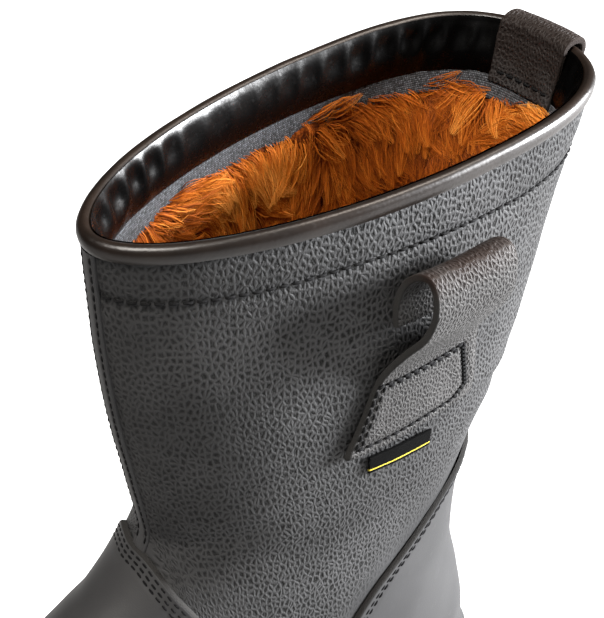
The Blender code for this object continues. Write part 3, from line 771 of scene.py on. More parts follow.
def upper_relief(points, side):
    """Height of the outer wall over the last: puffs and groove of the row, lumps, front seam, creases."""
    x, y, z = np.moveaxis(points, -1, 0)
    from_row = z - stitch_z(x)
    relief = 0.35 * trough(from_row - 8, 6) - 0.5 * trough(from_row, 1.2) + 0.2 * trough(from_row + 7, 4)
    relief += 0.45 * soft_noise(x / 34 + 7, z / 26 + side, 3) + 0.2 * soft_noise(x / 13, z / 11 + side, 4)
    from_piping = np.abs(y - PIPING_SIDE)
    front = (x > -8) & (z > PIPING_BOTTOM - 4)
    relief -= 0.55 * front * trough(from_piping - PIPING_HALF - 0.5, 0.8)
    return relief + crease_relief(points, side)


print(len(CREASES), "creases")

# %% Map of the leather
ANKLE_PLACE = 4.0


def upper_places():
    return np.concatenate([
        np.linspace(0, 4, 90, endpoint=False), np.linspace(4, 9, 50, endpoint=False),
        np.linspace(9, 17, 60, endpoint=False), LAST_ROW - 3 * (1 - np.linspace(0, 1, 20)) ** 2])


def leather_map(point, other, ankle):
    """Map of the leather in millimetres: round the shaft from the front line, and up.

    Both sides are scaled to meet at the back. Below the ankle's row the sections lean, so the map
    goes on straight down from that row.
    """
    here, there = walked_along(point), walked_along(other)
    share = here / np.maximum(here[:, -1:], 1e-6)
    around = share * (here[:, -1:] + there[:, -1:]) / 2
    backward = -point[..., 0]
    front = backward[ankle, 0]
    straight = np.interp(backward[ankle:], backward[ankle], around[ankle])
    around[ankle:] = straight + np.minimum(backward[ankle:] - front, 0)
    return np.stack([around, point[..., 2]], axis=-1)


def mirror_map(piece):
    """Give the faces of the inner side of the boot a map that runs the other way."""
    mesh = piece.data
    middle = np.empty((len(mesh.polygons), 3), np.float32)
    mesh.polygons.foreach_get("center", middle.ravel())
    corners = np.empty(len(mesh.polygons), np.int32)
    mesh.polygons.foreach_get("loop_total", corners)
    inner = np.repeat(middle[:, 1] / MM + ORIGIN[1] < 0, corners)
    layer = mesh.uv_layers["cloth"].data
    place = np.empty((len(mesh.loops), 2), np.float32)
    layer.foreach_get("uv", place.ravel())
    place[inner, 0] *= -1
    layer.foreach_set("uv", place.ravel())


# %% Upper
def make_upper():
    columns = np.linspace(0, 1, 91) ** 0.85
    place, fraction = np.meshgrid(upper_places(), columns, indexing="ij")
    ankle = np.searchsorted(place[:, 0], ANKLE_PLACE)
    grids = []
    for side in (1, -1):
        point, normal = on_last(place, fraction, side)
        cloth = leather_map(point, on_last(place, fraction, -side)[0], ankle)
        outer = point + upper_relief(point, side)[..., None] * normal
        grids.append((np.concatenate([outer, cloth], axis=-1), side > 0))
        grids.append((np.concatenate([point - WALL * normal, cloth], axis=-1), side < 0))
    points, faces, _ = weld(*join_grids(grids))
    made = make_piece("upper_leather", points[:, :3], faces, [pebbled_leather], ["upper"],
                      cloth=points[:, 3:])
    mirror_map(made)
    return made


upper = make_upper()


# %% [markdown]
# ## Vamp, counter, heel strip
#
# Three overlays of smoother leather are sewn over the upper. They could be cut out of it with a
# boolean, but its edges may be ragged. Instead each is laid out on the last: the lines of a grid start
# on its cut edge and run to its far side. The first few lines give the edge its height and its
# slightly rounded top. Stitch rows press a shallow groove into the leather, so the distance from the
# edge also sets that relief.

# %% Overlay edges
SEAM_GAP, OVERLAY = 0.3, 1.7
OVERLAY_LIFT = 0.9
VAMP_EDGE = [Level(36, 172), Level(14, 150), Level(11, 145.5), Level(10.1, 143.2), Level(9.8, 140),
             Level(9.3, 137), Level(8.5, 133.8), Level(6.6, 129.6), Level(2.4, 119), Level(-4, 95),
             Level(-11, 60), Level(-13, 27)]
VAMP_EDGE_INNER = [Level(36, 172), Level(14, 150), Level(11, 145.5), Level(10.1, 143.2), Level(7.6, 142.3),
                   Level(4.9, 139.7), Level(2.6, 135), Level(0, 127), Level(-3, 114), Level(-6, 95),
                   Level(-11, 60), Level(-13, 27)]
COUNTER_EDGE = [Level(-175, 141), Level(-140, 138.5), Level(-103, 130.2), Level(-76, 118), Level(-52, 101.6),
                Level(-35, 79), Level(-28, 50), Level(-26, 28.5)]
VAMP_ROWS = (2.6, 4.6, 6.4)         # stitch rows, from the cut edge
COUNTER_ROWS = (3.3, 5.2)
EDGE_LINES = np.array([0.0, 0.3, 0.75, 1.2, 1.7, 2.3])     # first lines of the grid, from the edge
EDGE_RISE = np.array([0.0, 0.45, 0.78, 0.95, 1.0, 1.0])    # share of the thickness that they reach
CUT_LINES = 3                                              # so many strips of the grid are cut edge
GROOVE_DEEP, GROOVE_WIDE = 0.22, 0.55                      # under a row of stitches
THREAD_SINK = 0.12


def edge_curve(edge, inset=0.0):
    """An edge in side view as a fine polyline, moved inset to its left hand."""
    line = through_points(edge, 160)
    way = unit(np.gradient(line, axis=0))
    return line + inset * np.stack([-way[:, 1], way[:, 0]], axis=1)


def vamp_inside(points, inset=0.0):
    """Above 0 on the toe side of the vamp's edge."""
    edges = []
    for edge in (VAMP_EDGE, VAMP_EDGE_INNER):
        line = edge_curve(edge, inset)
        order = np.argsort(line[:, 1])
        edges.append(np.interp(points[..., 2], line[order, 1], line[order, 0]))
    return points[..., 0] - np.where(points[..., 1] > 0, *edges)


def counter_inside(points, inset=0.0):
    """Above 0 under the counter's edge."""
    line = edge_curve(COUNTER_EDGE, -inset)
    below = np.interp(points[..., 0], line[:, 0], line[:, 1]) - points[..., 2]
    return np.where(points[..., 0] < line[-1, 0], below, -1.0)


# %% Where an overlay starts and ends
def first_zero(values, at):
    """Where values along the last axis first rise above 0, or None if they never do."""
    above = np.flatnonzero(values > 0)
    if len(above) == 0:
        return None
    i = above[0]
    if i == 0:
        return at[0]
    return at[i - 1] + (at[i] - at[i - 1]) * values[i - 1] / (values[i - 1] - values[i])


def base_fraction(side):
    """For each place, the fraction at which the wall reaches the sole."""
    points = skin_points[side]
    clear = points[..., 2] - feather_z(points[..., 0]) - OVERLAY_LIFT
    ends = np.ones(len(PLACES))
    for row in np.flatnonzero(PLACES > HEEL_ROW - 0.5):
        low = np.flatnonzero(clear[row] > 0)
        ends[row] = FRACTIONS[low[-1]] if len(low) else 1.0
    return ends


BASE = {side: base_fraction(side) for side in (1, -1)}


def base_at(place, side):
    return np.interp(place, PLACES, BASE[side])


def vamp_start(share, side, inset=0.0):
    """The place where the line at a share of the way to the sole crosses the vamp's edge."""
    points = read_grid(skin_points[side], PLACES, share * BASE[side])
    return first_zero(vamp_inside(points, inset), PLACES)


def counter_start(place, side, inset=0.0):
    """The fraction at which a section enters the counter, or None if it misses it."""
    fractions = FRACTIONS * base_at(place, side)
    points = read_grid(skin_points[side], np.full(len(fractions), place), fractions)
    return first_zero(counter_inside(points, inset), fractions)


def lines_from_edge(start, end, scale, count):
    """Parameters from a cut edge to the far side: close together at the edge, then even."""
    near = start + EDGE_LINES / scale
    return np.concatenate([near, near[-1] + (end - near[-1]) * np.linspace(0, 1, count)[1:]])


print("overlays end at", round(float(BASE[1].min()), 2), "of a section or later")


# %% Relief of an overlay, and the lines of its stitches
def overlay_relief(walked, rows):
    """Height over the last at a distance from the cut edge: rounded edge, then grooves of the stitches."""
    height = SEAM_GAP + OVERLAY * np.interp(walked, EDGE_LINES, EDGE_RISE)
    for row in rows:
        height = height - GROOVE_DEEP * trough(walked - row, GROOVE_WIDE)
    return height


overlay_rows = []


def keep_rows(point, normal, walked, rows):
    """Note the lines that stitches will follow, a set distance inside the cut edge."""
    for row in rows:
        line, outward = [], []
        for k in range(len(point)):
            if walked[k, -1] > row + 1:
                line.append([np.interp(row, walked[k], column) for column in point[k].T])
                outward.append([np.interp(row, walked[k], column) for column in normal[k].T])
        line, outward = np.array(line), np.array(outward)
        overlay_rows.append((line + (overlay_relief(row, rows) - THREAD_SINK) * outward, outward))


# %% Vamp
PROBE_PLACE, PROBE_FRACTION = 0.1, 0.02     # short steps that measure the scale at a cut edge


def make_vamp():
    shares = np.linspace(0, 1, 91) ** 1.5
    grids = []
    for side in (1, -1):
        place, fraction = [], []
        for share in shares:
            start = vamp_start(share, side)
            pair = read_grid(skin_points[side], [start, start + PROBE_PLACE], [share] * 2)
            scale = np.linalg.norm(np.diff(pair, axis=0)) / PROBE_PLACE
            line = lines_from_edge(start, LAST_ROW, scale, 110)
            place.append(line)
            fraction.append(share * base_at(line, side))
        place, fraction = np.array(place), np.array(fraction)
        point, normal = on_last(place, fraction, side)
        walked = walked_along(point)
        keep_rows(point, normal, walked, VAMP_ROWS)
        height = overlay_relief(walked, VAMP_ROWS)
        height = height + 0.25 * soft_noise(point[..., 0] / 30, point[..., 1] / 30, 5)
        grids.append((point + height[..., None] * normal, side < 0))
    points, faces, number = weld(*join_grids(grids))
    cut = number % (grids[0][0].shape[1] - 1) < CUT_LINES
    return make_piece("vamp_leather", points, faces, [smooth_leather, raw_edge],
                      ["vamp"], cut)


make_vamp()


# %% Counter
def counter_span(side):
    """First and last section that the counter covers on a side."""
    hit = [place for place in PLACES[::2] if counter_start(place, side) is not None]
    return hit[0], hit[-1]


def make_counter():
    grids = []
    for side in (1, -1):
        low, high = counter_span(side)
        places = np.linspace(low, high, 110)
        fraction = []
        for place in places:
            start = counter_start(place, side)
            end = base_at(place, side)
            start = end if start is None else start
            pair = read_grid(skin_points[side], [place] * 2, [start - PROBE_FRACTION, start])
            scale = np.linalg.norm(np.diff(pair, axis=0)) / PROBE_FRACTION
            line = lines_from_edge(start, max(end, start), scale, 60)
            fraction.append(np.minimum(line, end))
        fraction = np.array(fraction)
        point, normal = on_last(np.repeat(places[:, None], fraction.shape[1], axis=1), fraction, side)
        walked = walked_along(point)
        keep_rows(point, normal, walked, COUNTER_ROWS)
        height = overlay_relief(walked, COUNTER_ROWS)
        height = height + 0.2 * soft_noise(point[..., 0] / 30 + 9, point[..., 2] / 30, 6)
        grids.append((point + height[..., None] * normal, side > 0))
    points, faces, number = weld(*join_grids(grids))
    cut = number % (grids[0][0].shape[1] - 1) < CUT_LINES
    return make_piece("counter_leather", points, faces, [smooth_leather, raw_edge],
                      ["counter"], cut)


make_counter()

# %% Heel strip
HEEL_STRIP_HALF, HEEL_STRIP_TOP = 12.0, 102.0
HEEL_STRIP_ROW = 2.0                    # stitches, from the strip's edge
ROW_MM, SECTION_MM = 28.0, 160.0        # about one row of the table down the back, and half a section
STRIP_FACE_FROM = 0.014                 # fraction from the cut edge at which the even face begins


def back_place(z):
    """The section whose base lies at a height on the line of the back."""
    shaft = PLACES < HEEL_ROW
    return np.interp(-z, -section_at(PLACES).base_z[shaft], PLACES[shaft])


def strip_edge(place, side, half):
    """The fraction at which a section comes within half a width of the line of the back."""
    rear = len(FRACTIONS) // 2
    width = read_grid(skin_points[side], np.full(len(FRACTIONS), place), FRACTIONS)[:, 1] * side
    return np.interp(-half, -width[rear:], FRACTIONS[rear:])


def make_heel_strip():
    low = back_place(feather_z(HEEL_BACK) + OVERLAY_LIFT)
    high = back_place(HEEL_STRIP_TOP)
    near = EDGE_LINES / ROW_MM
    drop = np.concatenate([near[:-1], np.linspace(near[-1], low - high, 40)])
    grids = []
    for side in (1, -1):
        fraction = []
        for row in high + drop:
            start = strip_edge(row, side, HEEL_STRIP_HALF)
            face = np.linspace(start + STRIP_FACE_FROM, 1, 24)
            fraction.append(np.concatenate([start + EDGE_LINES / SECTION_MM, face]))
        fraction = np.array(fraction)
        place = np.repeat((high + drop)[:, None], fraction.shape[1], axis=1)
        point, normal = on_last(place, fraction, side)
        inside = np.minimum(HEEL_STRIP_HALF - np.abs(point[..., 1]), (place - high) * ROW_MM)
        height = SEAM_GAP + OVERLAY + overlay_relief(np.maximum(inside, 0), (HEEL_STRIP_ROW,))
        height = np.where(inside <= 0.001, SEAM_GAP + OVERLAY * 0.8, height)
        grids.append((point + height[..., None] * normal, side > 0))
    points, faces, _ = weld(*join_grids(grids))
    return make_piece("heel_strip_leather", points, faces, [smooth_leather], ["heel_strip"])


make_heel_strip()


# %% Ironed places of the upper
def iron_upper():
    """Mark where the upper is pulled tight: over the counter's edge, beside the vamp and down the front."""
    place = np.empty(len(upper.data.vertices) * 3, np.float32)
    upper.data.vertices.foreach_get("co", place)
    point = place.reshape(-1, 3) / MM + ORIGIN
    by_counter = trough(np.maximum(-counter_inside(point), 0), 13.0) * (point[:, 0] < COUNTER_EDGE[-1].x)
    by_vamp = 0.5 * trough(np.maximum(-vamp_inside(point), 0), 14.0) * (point[:, 2] < 150)
    front = 0.35 * np.clip((point[:, 0] + 22) / 34, 0, 1) ** 1.5
    ironed = np.clip(np.maximum(np.maximum(by_counter, by_vamp), front), 0, 1)
    set_mask(upper, "ironed", ironed)
    print("ironed share of the upper", round(float(ironed.mean()), 2))


iron_upper()

# %% [markdown]
# ## Front seam and collar binding
#
# The two halves of the shaft meet in front under a narrow flat strip, stitched down along both sides.
# The collar is bound with a thin coated leather, rolled over the cut edge. Both are swept: a small
# profile is carried along a line of the last. A curve with a bevel would do that too, but a grid
# follows the wall's own slope and never floats. The binding is a little uneven, because it is pulled
# round by hand at the machine.

# %% Walls of the shaft by height
SHAFT = PLACES[PLACES <= 5]
SHAFT_DEPTH = COLLAR_RIM - section_at(SHAFT).top_z


def place_of_height(z):
    return np.interp(COLLAR_RIM - np.asarray(z, float), SHAFT_DEPTH, SHAFT)


def front_wall_x(y, z):
    """Front of the shaft at y and z."""
    cut = section_at(place_of_height(z))
    half = np.where(y > 0, cut.outer, cut.inner)
    run = (1 - np.abs(y / half) ** cut.top_power) ** (1 / cut.top_power)
    return cut.top_x + (cut.base_x - cut.top_x) * cut.widest * (1 - run)


def side_wall_y(x, z):
    """Outer side of the shaft at x and z."""
    cut = section_at(place_of_height(z))
    down = (cut.top_x - x) / (cut.top_x - cut.base_x)
    front = down < cut.widest
    power = np.where(front, cut.top_power, cut.base_power)
    run = np.where(front, (cut.widest - down) / cut.widest, (down - cut.widest) / (1 - cut.widest))
    return cut.outer * np.clip(1 - run ** power, 0, 1) ** (1 / power)


def back_wall_x(y, z):
    """Back of the shaft at y and z."""
    cut = section_at(place_of_height(z))
    run = (1 - np.abs(y / cut.outer) ** cut.base_power) ** (1 / cut.base_power)
    return cut.top_x + (cut.base_x - cut.top_x) * (cut.widest + (1 - cut.widest) * run)


def front_outward(y, z):
    """Level direction out of the front of the shaft at y and z."""
    slope = (front_wall_x(y + 0.2, z) - front_wall_x(y - 0.2, z)) / 0.4
    return unit(np.stack([np.ones_like(slope), -slope, 0 * slope], axis=-1))


print("shaft", round(float(side_wall_y(-60.0, 200.0)), 1), "mm to the outer side at the loop's foot")

# %% Front strip
PIPING_SUNK, PIPING_GROOVE = 0.3, 0.35      # edges into the wall, and depth under its stitches


def make_piping():
    z = np.linspace(PIPING_BOTTOM - 1.5, PIPING_TOP, 150)[:, None]
    across = np.sin(np.linspace(-pi / 2, pi / 2, 41))[None, :]
    y = PIPING_SIDE + PIPING_HALF * across + 0 * z
    edge = np.clip((1 - np.abs(across)) / 0.2, 0, 1)
    groove = trough(np.abs(across) * PIPING_HALF - PIPING_ROW, 0.5)
    lift = (PIPING_SUNK + PIPING_HIGH) * np.sqrt(edge * (2 - edge)) - PIPING_GROOVE * groove
    lift = lift + 0.1 * soft_noise(z / 6, 0, 8) - PIPING_SUNK
    wall = np.stack([front_wall_x(y, z), y, z + 0 * y], axis=-1)
    points, faces = join_grids([(wall + lift[..., None] * front_outward(y, z), True)])
    return make_piece("piping_leather", points, faces, [smooth_leather], ["front_piping"])


make_piping()


# %% Binding material
def coated_material(name, color, roughness, specular, coat, wrinkle_mm, wrinkle_depth):
    """Smooth coated leather: glossy, with fine wrinkles and a slow change of gloss."""
    material, tree, shader = new_material(name)
    place = place_of(tree)
    pore = group_node(tree, pore_group, {"Place": place, "Pore mm": wrinkle_mm})
    tone = group_node(tree, tone_group, {"Place": place, "Patch mm": 18.0})
    deep = tuple(0.55 * value for value in color)
    tree.links.new(mix_colors(tree, tone["Tone"], deep, color), shader.inputs["Base Color"])
    gloss = calculate(tree, "MULTIPLY_ADD", tone["Rub"], 0.10)
    gloss.node.inputs[2].default_value = roughness
    tree.links.new(gloss, shader.inputs["Roughness"])
    shader.inputs["Coat Weight"].default_value = coat
    shader.inputs["Coat Roughness"].default_value = 0.25
    shader.inputs["Specular IOR Level"].default_value = specular
    tree.links.new(add_bump(tree, pore["Height"], wrinkle_depth), shader.inputs["Normal"])
    return material


binding_leather = coated_material("binding_leather", (0.010, 0.006, 0.004), 0.34, 0.42, 0.06, 1.2, 0.05)
lining_coat = coated_material("lining_coat", (0.0012, 0.0011, 0.0011), 0.27, 0.14, 0.0, 1.6, 0.04)
print("coated leathers:", binding_leather.name, lining_coat.name)

# %% Binding
Rib = namedtuple("Rib", "outset height")
BINDING = [Rib(0.9, -3.0), Rib(1.25, -2.2), Rib(1.4, -1.2), Rib(1.3, 0.1), Rib(0.85, 1.2), Rib(0.1, 1.9),
           Rib(-0.95, 2.15), Rib(-2.0, 1.9), Rib(-2.75, 1.2), Rib(-3.2, 0.1), Rib(-3.3, -1.2),
           Rib(-3.15, -2.2), Rib(-2.8, -3.2)]


def ring_columns(count):
    """Fractions and sides of a closed line round the leg, from the front along the outer side."""
    there = np.linspace(0, 1, count)
    fraction = np.concatenate([there, there[-2:0:-1]])
    side = np.concatenate([np.ones(count), -np.ones(count - 2)])
    return fraction, side


def ring_on_last(place, fraction, side, lift):
    """Points and normals round the leg, where place and lift may change along it."""
    place, lift = np.broadcast_to(place, fraction.shape), np.broadcast_to(lift, fraction.shape)
    outer, outer_normal = on_last(place, fraction, 1, lift)
    inner, inner_normal = on_last(place, fraction, -1, lift)
    pick = (side > 0)[..., None]
    return np.where(pick, outer, inner), np.where(pick, outer_normal, inner_normal)


RING_FRACTION, RING_SIDE = ring_columns(200)
RIM, RIM_NORMAL = ring_on_last(0.0, RING_FRACTION, RING_SIDE, 0.0)
RIM_STEPS = np.linalg.norm(np.roll(RIM, -1, axis=0) - RIM, axis=1)
RING_MM = np.concatenate([[0], np.cumsum(RIM_STEPS)[:-1]])     # distance round the collar from the front
COLLAR_ROUND = RIM_STEPS.sum()


def make_binding():
    lower, _ = ring_on_last(0.2, RING_FRACTION, RING_SIDE, 0.0)
    lean = (lower - RIM) / (RIM[0, 2] - lower[0, 2])
    outward = unit(RIM_NORMAL * np.array([1, 1, 0]))
    lines = []
    for k, rib in enumerate(BINDING):
        wobble = 0.12 * soft_noise(RING_MM / 9, k / 4, 11) + 0.10 * soft_noise(RING_MM / 28, k / 5, 12)
        line = RIM + (rib.outset + wobble)[:, None] * outward + max(-rib.height, 0) * lean
        line[:, 2] = COLLAR_RIM + rib.height + 0.5 * wobble
        lines.append(line)
    points, faces = join_grids([(np.array(lines), False, True)])
    return make_piece("binding_roll", points, faces, [binding_leather], ["collar_binding"])


make_binding()
print("collar is", round(COLLAR_ROUND), "mm round")

# %% [markdown]
# ## Collar lining and tape
#
# Inside the collar a band of coated lining is gathered under the binding: where it is fullest, at the
# front and towards the back, it stands in rounded puckers. Below it a grey woven tape covers the
# edge of the fur. Cloth simulation could gather the lining, but its puckers are sewn at a known step,
# so it is a band whose bulge is pulled flat between them, the same in each run. The tape is a thin
# strip with its own weave, drawn in millimetres along and across it.

# %% Collar lining
LINING_TOP, LINING_BOTTOM = 269.9, 251.6
TAPE_TOP, TAPE_BOTTOM = 252.6, 243.2
PUCKER_MM = 11.0
PUCKER_DEPTH = 0.80


def pucker_strength():
    """1 where the lining is fullest, at the front and round the back, and low along the sides."""
    from_front = np.minimum(RING_MM, COLLAR_ROUND - RING_MM)
    from_back = COLLAR_ROUND / 2 - from_front
    return 0.12 + 0.88 * np.clip(trough(from_front - 22, 38) + trough(from_back - 50, 45), 0, 1)


def make_lining():
    down = np.linspace(0, 1, 40)[:, None]
    phase = RING_MM / PUCKER_MM + 0.55 * soft_noise(RING_MM / 31, 0.5, 21)
    ridge = (0.5 + 0.5 * np.cos(2 * pi * phase)) ** 2.2
    full = pucker_strength() * (0.8 + 0.25 * soft_noise(RING_MM / 14, 3.5, 22))
    bulge = 3.3 * np.sin(pi * np.clip(0.04 + 0.80 * down, 0, 1)) ** 0.8
    hold = trough(down - 0.30, 0.24)
    fold = 0.5 * soft_noise(RING_MM / 5.5, down * 1.3, 23) * full * trough(down - 0.75, 0.3)
    lift = -2.3 - bulge * (1 - PUCKER_DEPTH * full * (1 - ridge) * hold) + fold
    height = LINING_TOP + (LINING_BOTTOM - LINING_TOP) * down + 0 * phase
    fraction = RING_FRACTION + 0 * down
    point, _ = ring_on_last(place_of_height(height), fraction, RING_SIDE + 0 * down, lift)
    point[..., 2] = height
    points, faces = join_grids([(point, False, True)])
    made = make_piece("collar_lining", points, faces, [lining_coat])


make_lining()


# %% Woven cloth
def make_weave_group():
    """Plain weave of two yarns: a height, and a speck where a light yarn comes up."""
    inputs = {"Cloth": (VECTOR, None), "Yarn mm": (FLOAT, 0.7)}
    tree, given, put = new_group("plain_weave", inputs, ["Height", "Speck"])
    split = add_node(tree, "ShaderNodeSeparateXYZ", {0: given.outputs["Cloth"]})
    turn = calculate(tree, "DIVIDE", pi, given.outputs["Yarn mm"])
    warp = calculate(tree, "SINE", calculate(tree, "MULTIPLY", split.outputs["X"], turn))
    weft = calculate(tree, "SINE", calculate(tree, "MULTIPLY", split.outputs["Y"], turn))
    over = calculate(tree, "MULTIPLY", warp, weft)
    per_mm = calculate(tree, "DIVIDE", 1.0, given.outputs["Yarn mm"])
    yarns = scaled(tree, given.outputs["Cloth"], per_mm)
    yarn = add_node(tree, "ShaderNodeVectorMath", {0: yarns}, operation="FLOOR").outputs[0]
    fleck = add_node(tree, "ShaderNodeTexWhiteNoise", {"Vector": yarn}, noise_dimensions="3D")
    crown = calculate(tree, "ABSOLUTE", over)
    tree.links.new(crown, put.inputs["Height"])
    tree.links.new(calculate(tree, "MULTIPLY", crown, fleck.outputs["Value"]), put.inputs["Speck"])
    return tree


weave_group = make_weave_group()
YARN_DEEP = 0.25


def woven_material(name, dark, light, yarn_mm):
    material, tree, shader = new_material(name)
    cloth = add_node(tree, "ShaderNodeUVMap", uv_map="cloth").outputs["UV"]
    weave = group_node(tree, weave_group, {"Cloth": cloth, "Yarn mm": yarn_mm})
    tree.links.new(mix_colors(tree, weave["Speck"], dark, light), shader.inputs["Base Color"])
    shader.inputs["Roughness"].default_value = 0.75
    tree.links.new(add_bump(tree, weave["Height"], YARN_DEEP), shader.inputs["Normal"])
    return material


tape_weave = woven_material("tape_weave", (0.016, 0.017, 0.019), (0.19, 0.20, 0.22), 0.75)
print("node group:", weave_group.name)


# %% Tape
def make_tape():
    profile = [(0.0, 0.0), (0.0, -0.45), (0.12, -0.6), (0.5, -0.65), (0.88, -0.6), (1.0, -0.45), (1.0, 0.0)]
    down = np.array([share for share, _ in profile])[:, None]
    proud = np.array([lift for _, lift in profile])[:, None]
    wave = 0.5 * soft_noise(RING_MM / 16, 0.5, 31) + 0.25 * soft_noise(RING_MM / 6, 1.5, 32)
    height = TAPE_TOP + (TAPE_BOTTOM - TAPE_TOP) * down + 0.35 * soft_noise(RING_MM / 22, 7.5, 33)
    fraction = RING_FRACTION + 0 * down
    lift = -3.2 + proud - 0.8 * down + wave * down
    point, _ = ring_on_last(place_of_height(height), fraction, RING_SIDE + 0 * down, lift)
    cloth = np.stack([RING_MM + 0 * down, height], axis=-1).reshape(-1, 2)
    points, faces = join_grids([(point, False, True)])
    made = make_piece("lining_tape", points, faces, [tape_weave], cloth=cloth)


make_tape()

# %% [markdown]
# ## Pull straps
#
# The side loop and the back strap are cut from thick pebbled leather, folded over and sewn down, and
# their cut edges stay raw. A flat strip with Solidify and Bevel could give the thickness. Here a strap
# is a rounded cross section carried along a path that leaves the wall, folds and comes back, because
# that gives its edge faces the fibrous raw leather. The top of a fold is dark brown, partly rubbed
# leather and partly painted sheen and shade; on the back strap the painted shade covers the inner leg.
# The wall under a strap gives its curve across, so that a sewn leg lies flat on the shaft.

# %% Strap sweep
STRAP = 2.2
Fold = namedtuple("Fold", "off z front_x back_x")
SIDE_LOOP = [
    Fold(1.5, 181.0, -41.0, -94.5), Fold(1.5, 193.0, -46.0, -94.0), Fold(1.5, 204.0, -50.3, -93.0),
    Fold(2.6, 209.8, -52.5, -92.0), Fold(5.0, 214.8, -54.3, -91.0), Fold(8.8, 220.4, -56.0, -90.5),
    Fold(14.4, 228.2, -57.0, -89.5), Fold(17.6, 235.8, -57.5, -89.0), Fold(18.4, 242.2, -57.5, -88.5),
    Fold(18.0, 246.4, -57.5, -88.5), Fold(16.2, 249.4, -57.5, -88.5), Fold(13.6, 249.8, -57.3, -88.5),
    Fold(10.6, 248.3, -57.0, -88.5), Fold(7.8, 245.4, -56.5, -88.5), Fold(5.4, 240.4, -56.0, -88.5),
    Fold(4.3, 234.4, -55.5, -88.5), Fold(4.3, 228.6, -55.5, -88.5),
]
Turn = namedtuple("Turn", "off z half_width")
BACK_STRAP = [
    Turn(-4.4, 250.6, 13.6), Turn(-4.5, 255.6, 13.8), Turn(-4.9, 261, 14), Turn(-5.6, 266, 14.2),
    Turn(-4.9, 270.8, 14.2), Turn(-0.9, 272.3, 14.2), Turn(3.1, 270.8, 14.2), Turn(3.9, 266, 14.2),
    Turn(2.9, 260, 14.2), Turn(1.8, 252, 14.2), Turn(1.7, 238, 14.2), Turn(1.7, 222, 14.2),
]
EDGE_SHAPE = [(0.0, 0.5), (0.55, 0.47), (0.9, 0.38), (1.0, 0.25), (1.0, 0.0), (1.0, -0.25),
              (0.9, -0.38), (0.55, -0.47), (0.0, -0.5)]
EDGE_SHARE = 0.016


def strap_section(columns):
    """Cross section as shares of width and thickness, and whether the face after each point is cut edge."""
    face = np.linspace(EDGE_SHARE, 1 - EDGE_SHARE, columns)
    far = [(1 - EDGE_SHARE * (1 - bulge), high) for bulge, high in EDGE_SHAPE]
    near = [(EDGE_SHARE * (1 - bulge), -high) for bulge, high in EDGE_SHAPE[:-1]]
    top = [(share, 0.5) for share in face[:-1]]
    under = [(share, -0.5) for share in face[-2:0:-1]]
    shape = np.array(top + far + under + near)
    cut = [False] * len(top) + [True] * (len(far) - 1) + [False] * (len(under) + 1) + [True] * len(near)
    return shape[:, 0], shape[:, 1], np.array(cut)


def strap_rows(path, count):
    """Path of a strap with its normals, and the share of the thickness that each row keeps."""
    line = through_points(path, count)
    way = unit(np.gradient(line[:, :2], axis=0))
    start, end = line[[0, 0]], line[[-1, -1]]
    start[:, :2] -= np.outer((0.5, 0.35), way[0])
    end[:, :2] += np.outer((0.35, 0.5), way[-1])
    line = np.vstack([start, line, end])
    way = np.vstack([way[[0, 0]], way, way[[-1, -1]]])
    keep = np.concatenate([[0.0, 0.55], np.ones(count), [0.55, 0.0]])
    return line, np.stack([-way[:, 1], way[:, 0]], axis=1), keep


# %% Side loop
STITCH_BOX = [Level(-43.9, 183.6), Level(-51.9, 206.2), Level(-86.2, 206.0), Level(-89.6, 187.5),
              Level(-84.6, 183.4), Level(-43.9, 183.6)]


def distance_to_line(x, z, corners):
    """Distance in side view from points to a line of corners."""
    nearest = np.full(np.broadcast(x, z).shape, 1e9)
    for first, second in zip(corners[:-1], corners[1:]):
        run = np.array([second.x - first.x, second.z - first.z])
        share = np.clip(((x - first.x) * run[0] + (z - first.z) * run[1]) / (run @ run), 0, 1)
        nearest = np.minimum(nearest, np.hypot(x - first.x - share * run[0], z - first.z - share * run[1]))
    return nearest


def loop_point(line, normal, keep, share, high):
    """Points of the side loop from rows of its path and a cross section."""
    x = line[:, 2:3] + (line[:, 3:4] - line[:, 2:3]) * share
    up = line[:, 1:2] + 0 * share
    wall = side_wall_y(x, up)
    lift = high * keep[:, None] * STRAP
    ripple = 0.35 * soft_noise(x / 14, up / 11, 41) * np.clip((line[:, :1] - 2.5) / 6, 0, 1)
    face = (high > 0) & (up < 208)
    from_row = distance_to_line(x, up, STITCH_BOX)
    lift = lift - 0.5 * face * trough(from_row, 0.9)
    lift = lift + 0.35 * face * trough(from_row - 3.2, 1.8)
    off = line[:, :1] - (lift + ripple) * normal[:, :1]
    return np.stack([x, wall + off, up - (lift + ripple) * normal[:, 1:2]], axis=-1)


def make_strap(name, points, across, cut, replaced):
    rows, columns = points.shape[:2]
    along = walked_along(points.mean(axis=1))[:, None] + 0 * across
    faces = grid_faces(rows, columns, ring=True)
    edge = np.broadcast_to(cut, (rows - 1, columns)).copy()
    edge[:2] = True
    edge[-2:] = True
    return make_piece(name, points.reshape(-1, 3), faces, [strap_leather, raw_edge],
                      [replaced], edge.ravel().astype(int), np.stack([across, along], axis=-1).reshape(-1, 2))


def paint_fold_sheen_shade(piece, points, low, high, most):
    """Mark the dark brown top of a fold, partly rubbed leather and partly painted sheen and shade, from
    nothing at a low height to the most at a high one.
    """
    x, y, z = points.reshape(-1, 3).T
    patchy = 0.85 + 0.3 * soft_noise(x / 7, y / 7 + z / 9, 45)
    set_mask(piece, "fold_sheen_shade", most * np.clip(patchy * (z - low) / (high - low), 0, 1))


share, high, cut = strap_section(37)
loop_line, loop_normal, loop_keep = strap_rows(SIDE_LOOP, 170)
loop_grid = loop_point(loop_line, loop_normal, loop_keep, share, high)
side_loop = make_strap("loop_leather", loop_grid, loop_grid[..., 0], cut, "side_loop")
paint_fold_sheen_shade(side_loop, loop_grid, 244.0, 250.0, 0.92)


